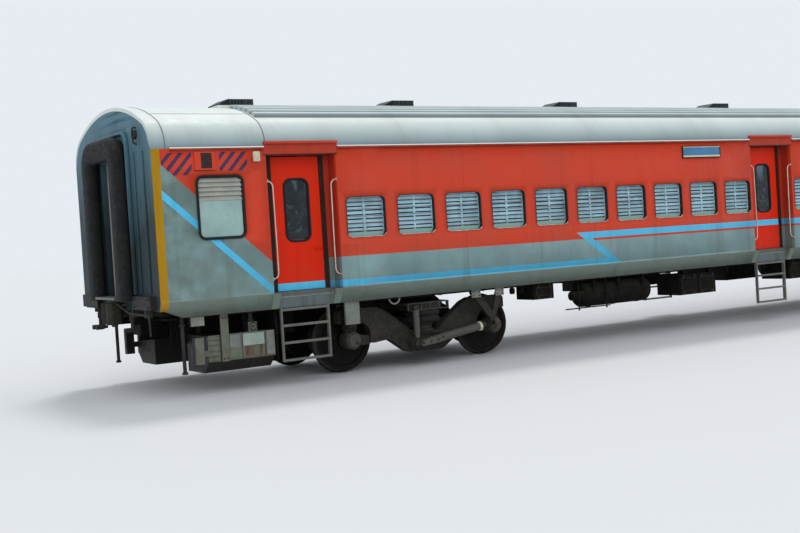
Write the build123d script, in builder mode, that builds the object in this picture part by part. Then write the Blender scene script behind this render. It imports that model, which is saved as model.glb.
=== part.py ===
from build123d import *
from math import atan2, cos, degrees, pi, sin
import os

os.makedirs("parts", exist_ok=True)

# A passenger coach on two four-wheel bogies, in millimetres at full size.
# X runs along the coach, Y across it, Z up. The origin is under the middle of
# the coach, at the level of the lowest point of the wheel flanges.
# Most pieces are drawn for the right side, at negative Y, and turned half a
# turn about Z for the left side.

# Driving dimensions of the body
BODY_END = 11770
SIDE_Y = 1620
SIDE_TOP = 3290
CREASE_Z = 1290
SKIRT_Y = 1500
SKIRT_Z = 1074
WALL = 60
END_PLATE = 80
END_FOOT_Z = 1180
FLOOR_TOP = 1300
FLOOR_FOOT = 1230
CROWN_Z = 4000
SHOULDER_RADIUS = 450
ROOF_WALL = 50
RIBBED_HALF_LENGTH = 10100

# Driving dimensions of the running gear
BOGIE_X = 7450
AXLE_X = 1280
TREAD_RADIUS = 457.5
FLANGE_HEIGHT = 28
AXLE_Z = TREAD_RADIUS + FLANGE_HEIGHT
JOURNAL_RADIUS = 65
COUPLER_Z = 1133
COUPLER_X = 12000

# Doors: middle of each recess along the right side
DOOR_XS = [-9604, 0, 9604]
RECESS_HALF = 540
LEAF_HALF = 370
LEAF_GAP = 10
LEAF_FACE_Y = 1400
LEAF_THICKNESS = 50
LEAF_TOP = 3170
JAMB_THICKNESS = 60
DOOR_WINDOW = (400, 890)
DOOR_WINDOW_Z = 2425
DOOR_WINDOW_RADIUS = 120

# Side windows: evenly spaced each way from the middle door
WINDOW_COUNT = 10
WINDOW_FIRST = 920
WINDOW_PITCH = 854.8
WINDOW_SIZE = (650, 580)
WINDOW_Z = 2280
WINDOW_RADIUS = 80
WINDOW_XS = [
    side * (WINDOW_FIRST + i * WINDOW_PITCH)
    for side in (-1, 1)
    for i in range(WINDOW_COUNT)
]

# Lavatory windows, one near each corner of the body
LAVATORY_X = 10840
LAVATORY_SIZE = (680, 850)
LAVATORY_Z = 2505
LAVATORY_RADIUS = 100

# Half a turn about Z carries the right side onto the left side
RIGHT = Location((0, 0, 0))
LEFT = Location((0, 0, 0), (0, 0, 180))
SIDES = {"right": RIGHT, "left": LEFT}

# Flats in each corner of a repeated opening, and sides of a rod, a drum and a disc
CORNER_FLATS = 3
ROD_SIDES = 8
DRUM_SIDES = 12
DISC_SIDES = 24

pieces = {}


def block(x0, x1, y0, y1, z0, z1, mode=Mode.ADD):
    """A block from its low corner to its high corner."""
    with Locations(((x0 + x1) / 2, (y0 + y1) / 2, (z0 + z1) / 2)):
        Box(x1 - x0, y1 - y0, z1 - z0, mode=mode)


def soft_rectangle(width, height, radius, mode=Mode.ADD):
    """A rectangle for a repeated opening: each round corner is a few short flats."""
    points = []
    for quarter, (x_sign, y_sign) in enumerate(((1, 1), (-1, 1), (-1, -1), (1, -1))):
        for step in range(CORNER_FLATS + 1):
            angle = (quarter + step / CORNER_FLATS) * pi / 2
            x = x_sign * (width / 2 - radius) + radius * cos(angle)
            y = y_sign * (height / 2 - radius) + radius * sin(angle)
            points.append((x, y))
    Polygon(*points, mode=mode)


def prism(start, stop, radius, sides):
    """A slim rod from one point to another, with a few flat sides in place of a round one."""
    direction = Vector(*stop) - Vector(*start)
    with BuildSketch(Plane(origin=start, z_dir=direction)) as section:
        RegularPolygon(radius, sides)
    extrude(section.sketch, amount=direction.length)


def keep(name, shape):
    """Names a finished piece and writes it."""
    shape.label = name
    pieces[name] = shape
    export_step(shape, f"parts/{name}.step")


def skirt_y(z):
    """Half-width of the body's outer face at a height up to the gutter."""
    if z >= CREASE_Z:
        return SIDE_Y
    return SIDE_Y - (SIDE_Y - SKIRT_Y) * (CREASE_Z - z) / (CREASE_Z - SKIRT_Z)


# Roof arcs: a small shoulder arc at each side, tangent to one large crown arc
RISE = CROWN_Z - SIDE_TOP
SHOULDER_Y = SIDE_Y - SHOULDER_RADIUS
CROWN_RADIUS = (SHOULDER_Y**2 + RISE**2 - SHOULDER_RADIUS**2) / (
    2 * (RISE - SHOULDER_RADIUS)
)
CROWN_CENTRE_Z = CROWN_Z - CROWN_RADIUS
CROWN_ANGLE = atan2(SIDE_TOP - CROWN_CENTRE_Z, SHOULDER_Y)


def roof_point(angle, inset=0, lift=0):
    """A point of the roof at an angle from the horizontal, on the right shoulder or the crown."""
    if angle < CROWN_ANGLE:
        radius = SHOULDER_RADIUS - inset + lift
        return (SHOULDER_Y + radius * cos(angle), SIDE_TOP + radius * sin(angle))
    radius = CROWN_RADIUS - inset + lift
    return (radius * cos(angle), CROWN_CENTRE_Z + radius * sin(angle))


def roof_arcs(inset):
    """Draws the roof line from one side to the other: shoulder, crown, shoulder."""
    foot = (SIDE_Y - inset, SIDE_TOP)
    middle = roof_point(CROWN_ANGLE / 2, inset)
    join = roof_point(CROWN_ANGLE, inset)
    top = (0, CROWN_Z - inset)
    ThreePointArc(foot, middle, join)
    ThreePointArc(join, top, (-join[0], join[1]))
    ThreePointArc((-join[0], join[1]), (-middle[0], middle[1]), (-foot[0], foot[1]))


def roof_z(y, lift=0):
    """Height of the crown arc at a distance across the coach."""
    return CROWN_CENTRE_Z + ((CROWN_RADIUS + lift) ** 2 - y**2) ** 0.5


# Side wall panels: one between each two door recesses, with the windows cut through
PANEL_RANGES = [
    (-BODY_END + END_PLATE, DOOR_XS[0] - RECESS_HALF),
    (DOOR_XS[0] + RECESS_HALF, DOOR_XS[1] - RECESS_HALF),
    (DOOR_XS[1] + RECESS_HALF, DOOR_XS[2] - RECESS_HALF),
    (DOOR_XS[2] + RECESS_HALF, BODY_END - END_PLATE),
]
END_CHAMFER = 350
SKIRT_REACH = 110

with BuildPart() as side_panels:
    for low, high in PANEL_RANGES:
        block(low, high, -SIDE_Y, -SIDE_Y + WALL, CREASE_Z, SIDE_TOP)
    with BuildSketch(Plane.XZ.offset(SIDE_Y - WALL)):
        with Locations(*[(x, WINDOW_Z) for x in WINDOW_XS]):
            soft_rectangle(*WINDOW_SIZE, WINDOW_RADIUS)
        with Locations((-LAVATORY_X, LAVATORY_Z), (LAVATORY_X, LAVATORY_Z)):
            soft_rectangle(*LAVATORY_SIZE, LAVATORY_RADIUS)
    extrude(amount=WALL, mode=Mode.SUBTRACT)

for side, turn in SIDES.items():
    with BuildPart() as turned:
        with Locations(turn):
            add(side_panels.part)
    keep(f"side_panels_{side}", turned.part)

# Skirts: they lean inwards below the crease, reach a little way under each door recess, and rise at
# both ends of the body
with BuildPart() as skirts:
    for low, high in PANEL_RANGES:
        low = max(low - SKIRT_REACH, -BODY_END + END_PLATE)
        high = min(high + SKIRT_REACH, BODY_END - END_PLATE)
        with BuildSketch(Plane.YZ.offset(low)):
            with BuildLine():
                Polyline(
                    (-SIDE_Y, CREASE_Z),
                    (-SKIRT_Y, SKIRT_Z),
                    (-SKIRT_Y + WALL, SKIRT_Z),
                    (-SIDE_Y + WALL, CREASE_Z),
                    close=True,
                )
            make_face()
        extrude(amount=high - low)
    with BuildSketch(Plane.XZ.offset(SKIRT_Y - 2 * WALL)):
        for end in (-1, 1):
            with BuildLine():
                Polyline(
                    (end * BODY_END, SKIRT_Z - WALL),
                    (end * BODY_END, END_FOOT_Z),
                    (end * (BODY_END - END_PLATE), END_FOOT_Z),
                    (end * (BODY_END - END_CHAMFER), SKIRT_Z),
                    (end * (BODY_END - END_CHAMFER), SKIRT_Z - WALL),
                    close=True,
                )
            make_face()
    extrude(amount=4 * WALL, mode=Mode.SUBTRACT)

with BuildPart() as side_skirts:
    with Locations(RIGHT, LEFT):
        add(skirts.part)
keep("side_skirts", side_skirts.part)

# Door recesses: two angled posts beside each leaf, a header with a thin rain hood above it, a sill below
RECESS_POST = 20
HEADER_LIFT = 5
HOOD_REACH = 36
HOOD_FOOT = 3334
HOOD_TOP = 3370
HOOD_SIDE = 30
SILL_FACE_Y = 1480
SILL_THICKNESS = 40

with BuildPart() as posts:
    for middle in DOOR_XS:
        for end in (-1, 1):
            outer = middle + end * RECESS_HALF
            inner = middle + end * (LEAF_HALF + LEAF_GAP)
            with BuildSketch(Plane.XY.offset(FLOOR_TOP)):
                with BuildLine():
                    Polyline(
                        (outer + end * RECESS_POST, -SIDE_Y + WALL),
                        (outer, -SIDE_Y + WALL),
                        (outer, -LEAF_FACE_Y),
                        (inner, -LEAF_FACE_Y),
                        (inner, -LEAF_FACE_Y + JAMB_THICKNESS),
                        (outer + end * RECESS_POST, -LEAF_FACE_Y + JAMB_THICKNESS),
                        close=True,
                    )
                make_face()
            extrude(amount=SIDE_TOP - FLOOR_TOP)

with BuildPart() as door_posts:
    with Locations(RIGHT, LEFT):
        add(posts.part)
keep("door_posts", door_posts.part)

with BuildPart() as headers:
    for middle in DOOR_XS:
        inside = LEAF_HALF + LEAF_GAP
        block(
            middle - RECESS_HALF,
            middle + RECESS_HALF,
            -SIDE_Y,
            -LEAF_FACE_Y,
            LEAF_TOP + LEAF_GAP,
            SIDE_TOP,
        )
        block(
            middle - inside,
            middle + inside,
            -LEAF_FACE_Y,
            -LEAF_FACE_Y + JAMB_THICKNESS,
            LEAF_TOP + LEAF_GAP,
            SIDE_TOP,
        )
        block(
            middle - RECESS_HALF - HOOD_SIDE,
            middle + RECESS_HALF + HOOD_SIDE,
            -SIDE_Y - HEADER_LIFT,
            -SIDE_Y,
            LEAF_TOP + LEAF_GAP,
            HOOD_FOOT,
        )
        block(
            middle - RECESS_HALF - HOOD_SIDE,
            middle + RECESS_HALF + HOOD_SIDE,
            -SIDE_Y - HOOD_REACH,
            -SIDE_Y,
            HOOD_FOOT,
            HOOD_TOP,
        )

with BuildPart() as door_headers:
    with Locations(RIGHT, LEFT):
        add(headers.part)
keep("door_headers", door_headers.part)

with BuildPart() as sills:
    for middle in DOOR_XS:
        block(
            middle - RECESS_HALF + SKIRT_REACH,
            middle + RECESS_HALF - SKIRT_REACH,
            -SILL_FACE_Y,
            -SILL_FACE_Y + SILL_THICKNESS,
            SKIRT_Z,
            FLOOR_FOOT,
        )

with BuildPart() as door_sills:
    with Locations(RIGHT, LEFT):
        add(sills.part)
keep("door_sills", door_sills.part)

# Door leaves: each turns inwards about an upright line just inside its inner face
RUBBER_WIDTH = 45
PANE_SETBACK = 14
LEAF_FOOT_GAP = 6

for number, middle in enumerate(DOOR_XS, start=1):
    for side, turn in SIDES.items():
        with BuildPart() as leaf:
            block(
                middle - LEAF_HALF,
                middle + LEAF_HALF,
                -LEAF_FACE_Y,
                -LEAF_FACE_Y + LEAF_THICKNESS,
                FLOOR_TOP + LEAF_FOOT_GAP,
                LEAF_TOP,
            )
            with BuildSketch(Plane.XZ.offset(LEAF_FACE_Y - LEAF_THICKNESS)):
                with Locations((middle, DOOR_WINDOW_Z)):
                    soft_rectangle(*DOOR_WINDOW, DOOR_WINDOW_RADIUS)
            extrude(amount=LEAF_THICKNESS, mode=Mode.SUBTRACT)
        with BuildPart() as pane:
            with BuildSketch(Plane.XZ.offset(LEAF_FACE_Y - LEAF_THICKNESS)):
                with Locations((middle, DOOR_WINDOW_Z)):
                    soft_rectangle(*DOOR_WINDOW, DOOR_WINDOW_RADIUS)
            extrude(amount=LEAF_THICKNESS)
            with BuildSketch(Plane.XZ.offset(LEAF_FACE_Y - PANE_SETBACK)):
                with Locations((middle, DOOR_WINDOW_Z)):
                    soft_rectangle(
                        DOOR_WINDOW[0] - 2 * RUBBER_WIDTH,
                        DOOR_WINDOW[1] - 2 * RUBBER_WIDTH,
                        DOOR_WINDOW_RADIUS - RUBBER_WIDTH,
                    )
            extrude(amount=PANE_SETBACK, mode=Mode.SUBTRACT)
        with BuildPart() as turned_leaf:
            with Locations(turn):
                add(leaf.part)
        keep(f"door_{side}_{number}_leaf", turned_leaf.part)
        with BuildPart() as turned_pane:
            with Locations(turn):
                add(pane.part)
        keep(f"door_{side}_{number}_window", turned_pane.part)

# Hand rails: one beside each edge of a door recess, held by a foot at each end
RAIL_RADIUS = 14
RAIL_OFFSET = 455
RAIL_Y = 1600
RAIL_LOW = 1510
RAIL_HIGH = 2820
FOOT_SIZE = 26

with BuildPart() as rails:
    for middle in DOOR_XS:
        for end in (-1, 1):
            x = middle + end * RAIL_OFFSET
            prism((x, -RAIL_Y, RAIL_LOW), (x, -RAIL_Y, RAIL_HIGH), RAIL_RADIUS, ROD_SIDES)

with BuildPart() as feet:
    for middle in DOOR_XS:
        for end in (-1, 1):
            near = middle + end * (RAIL_OFFSET + RAIL_RADIUS)
            far = middle + end * RECESS_HALF
            for z in (RAIL_LOW + FOOT_SIZE, RAIL_HIGH - FOOT_SIZE):
                block(
                    min(near, far),
                    max(near, far),
                    -RAIL_Y - FOOT_SIZE / 2,
                    -RAIL_Y + FOOT_SIZE / 2,
                    z - FOOT_SIZE / 2,
                    z + FOOT_SIZE / 2,
                )

for name, source in (("hand_rails", rails), ("rail_feet", feet)):
    with BuildPart() as fitting:
        with Locations(RIGHT, LEFT):
            add(source.part)
    keep(name, fitting.part)

# Steps under each door: flat stiles with four rungs
STEP_HALF = 405
STILE = (22, 60)
STEP_Y = 1515
STEP_FOOT = 330
RUNG_HEIGHT = 24
RUNG_ZS = (344, 585, 825, 1045)

with BuildPart() as stiles:
    for middle in DOOR_XS:
        for end in (-1, 1):
            edge = middle + end * STEP_HALF
            block(
                min(edge, edge - end * STILE[0]),
                max(edge, edge - end * STILE[0]),
                -STEP_Y,
                -STEP_Y + STILE[1],
                STEP_FOOT,
                SKIRT_Z,
            )

with BuildPart() as rungs:
    for middle in DOOR_XS:
        for z in RUNG_ZS:
            block(
                middle - STEP_HALF + STILE[0],
                middle + STEP_HALF - STILE[0],
                -STEP_Y,
                -STEP_Y + STILE[1],
                z - RUNG_HEIGHT / 2,
                z + RUNG_HEIGHT / 2,
            )

for name, source in (("step_stiles", stiles), ("step_rungs", rungs)):
    with BuildPart() as fitting:
        with Locations(RIGHT, LEFT):
            add(source.part)
    keep(name, fitting.part)

# Gutters along the foot of the roof, broken at each door hood
GUTTER_START = 250
GUTTER_Y = 1652
GUTTER_FOOT = 3264
GUTTER_FLOOR = 3276
GUTTER_LIP = 3306
LIP_THICKNESS = 8
HOOD_HALF = RECESS_HALF + HOOD_SIDE
GUTTER_RANGES = [
    (-BODY_END + GUTTER_START, DOOR_XS[0] - HOOD_HALF),
    (DOOR_XS[0] + HOOD_HALF, DOOR_XS[1] - HOOD_HALF),
    (DOOR_XS[1] + HOOD_HALF, DOOR_XS[2] - HOOD_HALF),
    (DOOR_XS[2] + HOOD_HALF, BODY_END - GUTTER_START),
]

with BuildPart() as gutter:
    for low, high in GUTTER_RANGES:
        with BuildSketch(Plane.YZ.offset(low)):
            with BuildLine():
                Polyline(
                    (-SIDE_Y, GUTTER_FOOT),
                    (-GUTTER_Y, GUTTER_FLOOR - LIP_THICKNESS),
                    (-GUTTER_Y, GUTTER_LIP),
                    (-GUTTER_Y + LIP_THICKNESS, GUTTER_LIP),
                    (-GUTTER_Y + LIP_THICKNESS, GUTTER_FLOOR),
                    (-SIDE_Y, GUTTER_FLOOR),
                    close=True,
                )
            make_face()
        extrude(amount=high - low)

with BuildPart() as gutters:
    with Locations(RIGHT, LEFT):
        add(gutter.part)
keep("gutters", gutters.part)

# Side window shutters: slats in two columns behind each opening, resting on the wall's inner face
SHUTTER_LAP = 15
SHUTTER_DEPTH = 30
SLAT_COUNT = 6
SLAT_RISE = 14

with BuildPart() as shutters:
    width = WINDOW_SIZE[0] + 2 * SHUTTER_LAP
    foot_z = WINDOW_Z - WINDOW_SIZE[1] / 2 - SHUTTER_LAP
    height = WINDOW_SIZE[1] + 2 * SHUTTER_LAP
    pitch = height / SLAT_COUNT
    face_y = -SIDE_Y + WALL
    back_y = face_y + SHUTTER_DEPTH
    for x in WINDOW_XS:
        with BuildSketch(Plane.YZ.offset(x - width / 2)):
            with BuildLine():
                zigzag = [(back_y, foot_z)]
                for i in range(SLAT_COUNT):
                    low_z = foot_z + i * pitch
                    zigzag.append((face_y, low_z))
                    zigzag.append((face_y + SLAT_RISE, low_z + pitch))
                zigzag.append((back_y, foot_z + height))
                Polyline(*zigzag, close=True)
            make_face()
        extrude(amount=width)

for side, turn in SIDES.items():
    with BuildPart() as turned:
        with Locations(turn):
            add(shutters.part)
    keep(f"shutters_{side}", turned.part)

# Lavatory windows: a rubber frame, a frosted pane and slats over its top third
LAVATORY_RUBBER = 50
LAVATORY_LIFT = 10
LAVATORY_SPLIT_Z = 2595
LAVATORY_SLATS = 5
LAVATORY_PANE = 30

with BuildPart() as lavatory_rings:
    with BuildSketch(Plane.XZ.offset(SIDE_Y - WALL)):
        with Locations((-LAVATORY_X, LAVATORY_Z), (LAVATORY_X, LAVATORY_Z)):
            soft_rectangle(*LAVATORY_SIZE, LAVATORY_RADIUS)
            soft_rectangle(
                LAVATORY_SIZE[0] - 2 * LAVATORY_RUBBER,
                LAVATORY_SIZE[1] - 2 * LAVATORY_RUBBER,
                LAVATORY_RADIUS - LAVATORY_RUBBER / 2,
                mode=Mode.SUBTRACT,
            )
    extrude(amount=WALL + LAVATORY_LIFT)

with BuildPart() as lavatory_frames:
    with Locations(RIGHT, LEFT):
        add(lavatory_rings.part)
keep("lavatory_frames", lavatory_frames.part)

with BuildPart() as lavatory_glass:
    half = LAVATORY_SIZE[0] / 2 - LAVATORY_RUBBER
    foot = LAVATORY_Z - LAVATORY_SIZE[1] / 2 + LAVATORY_RUBBER
    top = LAVATORY_Z + LAVATORY_SIZE[1] / 2 - LAVATORY_RUBBER
    pitch = (top - LAVATORY_SPLIT_Z) / LAVATORY_SLATS
    back_y = -SIDE_Y + WALL
    for x in (-LAVATORY_X, LAVATORY_X):
        with BuildSketch(Plane.YZ.offset(x - half)):
            with BuildLine():
                points = [(back_y, foot), (back_y - LAVATORY_PANE, foot)]
                points.append((back_y - LAVATORY_PANE, LAVATORY_SPLIT_Z))
                for i in range(LAVATORY_SLATS):
                    low_z = LAVATORY_SPLIT_Z + i * pitch
                    points.append((back_y - LAVATORY_PANE - SLAT_RISE, low_z))
                    points.append((back_y - LAVATORY_PANE, low_z + pitch))
                points.append((back_y, top))
                Polyline(*points, close=True)
            make_face()
        extrude(amount=2 * half)
    with BuildSketch(Plane.XZ.offset(SIDE_Y - WALL - 1)):
        with Locations((-LAVATORY_X, LAVATORY_Z), (LAVATORY_X, LAVATORY_Z)):
            soft_rectangle(
                LAVATORY_SIZE[0] - 2 * LAVATORY_RUBBER,
                LAVATORY_SIZE[1] - 2 * LAVATORY_RUBBER,
                LAVATORY_RADIUS - LAVATORY_RUBBER / 2,
            )
    extrude(amount=WALL + 2, mode=Mode.INTERSECT)

with BuildPart() as lavatory_panes:
    with Locations(RIGHT, LEFT):
        add(lavatory_glass.part)
keep("lavatory_panes", lavatory_panes.part)

# Roof: a smooth arched section at each end and a raised ribbed section between them
RIB_COUNT = 17
RIB_PITCH = 150
RIB_FOOT_WIDTH = 96
RIB_FLANK = 70
RIB_HEIGHT = 30
RIB_ROOT = 6
DECK_LIFT = 20
DECK_HALF = 1280


def arched_section(low, high):
    """Extrudes the plain roof shell from one x to another."""
    with BuildSketch(Plane.YZ.offset(low)) as section:
        with BuildLine():
            roof_arcs(0)
            roof_arcs(ROOF_WALL)
            Line((SIDE_Y, SIDE_TOP), (SIDE_Y - ROOF_WALL, SIDE_TOP))
            Line((-SIDE_Y, SIDE_TOP), (-SIDE_Y + ROOF_WALL, SIDE_TOP))
        make_face()
    extrude(section.sketch, amount=high - low)


# Roof ventilators: x of each middle. All stand in one row on flat curbs, let into the ribbed deck.
VENT_XS = [-9995, -7200, -3800, 0, 3800, 7200, 9995]
VENT_Y = -250
VENT_LENGTH = 550
VENT_WIDTH = 400
VENT_HEIGHT = 92
CURB_Z = 4012
CURB_SIDE = 12
CURB_DROP = 70


def vent_curbs(low, high):
    """Clears and fills the curbs of the ventilators, as far as they lie between two x of the roof."""
    near_y = VENT_Y - VENT_WIDTH / 2 - CURB_SIDE
    far_y = VENT_Y + VENT_WIDTH / 2 + CURB_SIDE
    for x in VENT_XS:
        start = max(x - VENT_LENGTH / 2 - CURB_SIDE, low)
        stop = min(x + VENT_LENGTH / 2 + CURB_SIDE, high)
        if start < stop:
            block(start, stop, near_y, far_y, CURB_Z, CURB_Z + VENT_HEIGHT, mode=Mode.SUBTRACT)
            block(start, stop, near_y, far_y, CURB_Z - CURB_DROP, CURB_Z)


with BuildPart() as roof_middle:
    arched_section(-RIBBED_HALF_LENGTH, RIBBED_HALF_LENGTH)
    with BuildSketch(Plane.YZ.offset(-RIBBED_HALF_LENGTH)):
        with BuildLine():
            edge_z = roof_z(DECK_HALF, -ROOF_WALL / 2)
            deck_z = roof_z(DECK_HALF - DECK_LIFT, DECK_LIFT)
            Line((DECK_HALF, edge_z), (DECK_HALF - DECK_LIFT, deck_z))
            ThreePointArc(
                (DECK_HALF - DECK_LIFT, deck_z),
                (0, CROWN_Z + DECK_LIFT),
                (-DECK_HALF + DECK_LIFT, deck_z),
            )
            Line((-DECK_HALF + DECK_LIFT, deck_z), (-DECK_HALF, edge_z))
            ThreePointArc(
                (-DECK_HALF, edge_z),
                (0, CROWN_Z - ROOF_WALL / 2),
                (DECK_HALF, edge_z),
            )
        make_face()
        for i in range(RIB_COUNT):
            y = (i - (RIB_COUNT - 1) / 2) * RIB_PITCH
            with Locations((y, roof_z(y, DECK_LIFT) + (RIB_HEIGHT - RIB_ROOT) / 2)):
                Trapezoid(
                    RIB_FOOT_WIDTH,
                    RIB_HEIGHT + RIB_ROOT,
                    RIB_FLANK,
                    rotation=-degrees(y / CROWN_RADIUS),
                )
    extrude(amount=2 * RIBBED_HALF_LENGTH)
    vent_curbs(-RIBBED_HALF_LENGTH, RIBBED_HALF_LENGTH)
keep("roof_middle", roof_middle.part)

with BuildPart() as roof_ends:
    for low, high in (
        (-BODY_END + END_PLATE, -RIBBED_HALF_LENGTH),
        (RIBBED_HALF_LENGTH, BODY_END - END_PLATE),
    ):
        arched_section(low, high)
        vent_curbs(low, high)
keep("roof_ends", roof_ends.part)

# Ventilator hoods: a box whose end slopes down, with an open slot across it near the other end
VENT_WALL = 10
VENT_SLOPE = 150
VENT_MOUTH = 150

with BuildPart() as roof_vents:
    for x in VENT_XS:
        low, high = x - VENT_LENGTH / 2, x + VENT_LENGTH / 2
        with BuildSketch(Plane.XZ.offset(-VENT_Y - VENT_WIDTH / 2)):
            with BuildLine():
                Polyline(
                    (low, CURB_Z),
                    (low + VENT_SLOPE, CURB_Z + VENT_HEIGHT),
                    (high, CURB_Z + VENT_HEIGHT),
                    (high, CURB_Z),
                    close=True,
                )
            make_face()
        extrude(amount=VENT_WIDTH)
        block(
            high - VENT_MOUTH,
            high - VENT_WALL,
            VENT_Y - VENT_WIDTH / 2,
            VENT_Y + VENT_WIDTH / 2,
            CURB_Z + VENT_WALL,
            CURB_Z + VENT_HEIGHT - VENT_WALL,
            mode=Mode.SUBTRACT,
        )
keep("roof_vents", roof_vents.part)

# End walls: flat plates of the body's full section, with the passage and the coupler pocket cut out
PASSAGE_HALF = 430
PASSAGE_FOOT = 1330
PASSAGE_TOP = 3250
POCKET_HALF = 260
POCKET_TOP = 1262

with BuildPart() as end_walls:
    for x in (-BODY_END, BODY_END - END_PLATE):
        with BuildSketch(Plane.YZ.offset(x)):
            with BuildLine():
                roof_arcs(0)
                Polyline(
                    (SIDE_Y, SIDE_TOP),
                    (SIDE_Y, CREASE_Z),
                    (skirt_y(END_FOOT_Z), END_FOOT_Z),
                    (-skirt_y(END_FOOT_Z), END_FOOT_Z),
                    (-SIDE_Y, CREASE_Z),
                    (-SIDE_Y, SIDE_TOP),
                )
            make_face()
            with Locations((0, (PASSAGE_FOOT + PASSAGE_TOP) / 2)):
                Rectangle(
                    2 * PASSAGE_HALF, PASSAGE_TOP - PASSAGE_FOOT, mode=Mode.SUBTRACT
                )
            with Locations((0, POCKET_TOP / 2)):
                Rectangle(2 * POCKET_HALF, POCKET_TOP, mode=Mode.SUBTRACT)
        extrude(amount=END_PLATE)
keep("end_walls", end_walls.part)

# Headstocks: a short beam across each half of the end wall, beside the gangway
HEADSTOCK = (760, 1450)
HEADSTOCK_REACH = 85
HEADSTOCK_Z = (1205, 1385)

with BuildPart() as headstocks:
    for end in (-1, 1):
        face, front = end * BODY_END, end * (BODY_END + HEADSTOCK_REACH)
        for side in (-1, 1):
            block(
                min(face, front),
                max(face, front),
                min(side * HEADSTOCK[0], side * HEADSTOCK[1]),
                max(side * HEADSTOCK[0], side * HEADSTOCK[1]),
                *HEADSTOCK_Z,
            )
keep("headstocks", headstocks.part)

# Gangway bellows: a thick rubber arch round each passage, and the plate that bridges the gap
BELLOWS_REACH = 215
BELLOWS_HALF = 750
BELLOWS_TOP = 3570
BELLOWS_FOOT = 1320
BELLOWS_CORNER = 170
BELLOWS_EDGE = 80
FALL_PLATE_TOP = 1370
FALL_PLATE_FOOT = 1336

with BuildPart() as bellows:
    with BuildSketch(Plane.YZ.offset(BODY_END)):
        with Locations((0, (BELLOWS_TOP + BELLOWS_FOOT) / 2)):
            Rectangle(2 * BELLOWS_HALF, BELLOWS_TOP - BELLOWS_FOOT)
        with Locations((0, (PASSAGE_TOP + BELLOWS_FOOT) / 2)):
            Rectangle(
                2 * PASSAGE_HALF, PASSAGE_TOP - BELLOWS_FOOT, mode=Mode.SUBTRACT
            )
    extrude(amount=BELLOWS_REACH)
    upper_corners = bellows.edges().filter_by(Axis.X).group_by(Axis.Z)[-1]
    fillet(upper_corners, BELLOWS_CORNER)
    outer_face = bellows.faces().sort_by(Axis.X)[-1]
    chamfer(outer_face.edges(), BELLOWS_EDGE)

with BuildPart() as gangway_bellows:
    with Locations(RIGHT, LEFT):
        add(bellows.part)
keep("gangway_bellows", gangway_bellows.part)

with BuildPart() as fall_plates:
    for low in (-BODY_END - BELLOWS_REACH, BODY_END):
        block(
            low,
            low + BELLOWS_REACH,
            -PASSAGE_HALF + LEAF_GAP,
            PASSAGE_HALF - LEAF_GAP,
            FALL_PLATE_FOOT,
            FALL_PLATE_TOP,
        )
keep("fall_plates", fall_plates.part)

# Floor: one plate between the side walls, notched at the door recesses
with BuildPart() as floor:
    with BuildSketch(Plane.YZ.offset(-BODY_END + END_PLATE)):
        with BuildLine():
            Polyline(
                (-SIDE_Y + WALL, FLOOR_TOP),
                (-SIDE_Y + WALL, CREASE_Z),
                (-skirt_y(FLOOR_FOOT) + WALL, FLOOR_FOOT),
                (skirt_y(FLOOR_FOOT) - WALL, FLOOR_FOOT),
                (SIDE_Y - WALL, CREASE_Z),
                (SIDE_Y - WALL, FLOOR_TOP),
                close=True,
            )
        make_face()
    extrude(amount=2 * (BODY_END - END_PLATE))
    for middle in DOOR_XS:
        for side in (-1, 1):
            block(
                middle - RECESS_HALF,
                middle + RECESS_HALF,
                min(side * SILL_FACE_Y, side * SIDE_Y),
                max(side * SILL_FACE_Y, side * SIDE_Y),
                FLOOR_FOOT,
                FLOOR_TOP,
                mode=Mode.SUBTRACT,
            )
keep("floor", floor.part)

# Underframe: two solebars, cross members, a bolster over each bogie and a pair of draft sills at each end
SOLEBAR_Y = 1440
SOLEBAR_WIDTH = 150
UNDERFRAME_FOOT = 1110
BAY_COUNT = 16
CROSS_WIDTH = 70
BODY_BOLSTER_HALF = 240
BODY_BOLSTER_FOOT = 1010
BODY_BOLSTER_STEP = 60
DRAFT_SILL_Y = 190
DRAFT_SILL_WIDTH = 80
DRAFT_SILL_LENGTH = 900
DRAFT_SILL_FOOT = 960
DRAFT_POCKET_TOP = 1205

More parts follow.
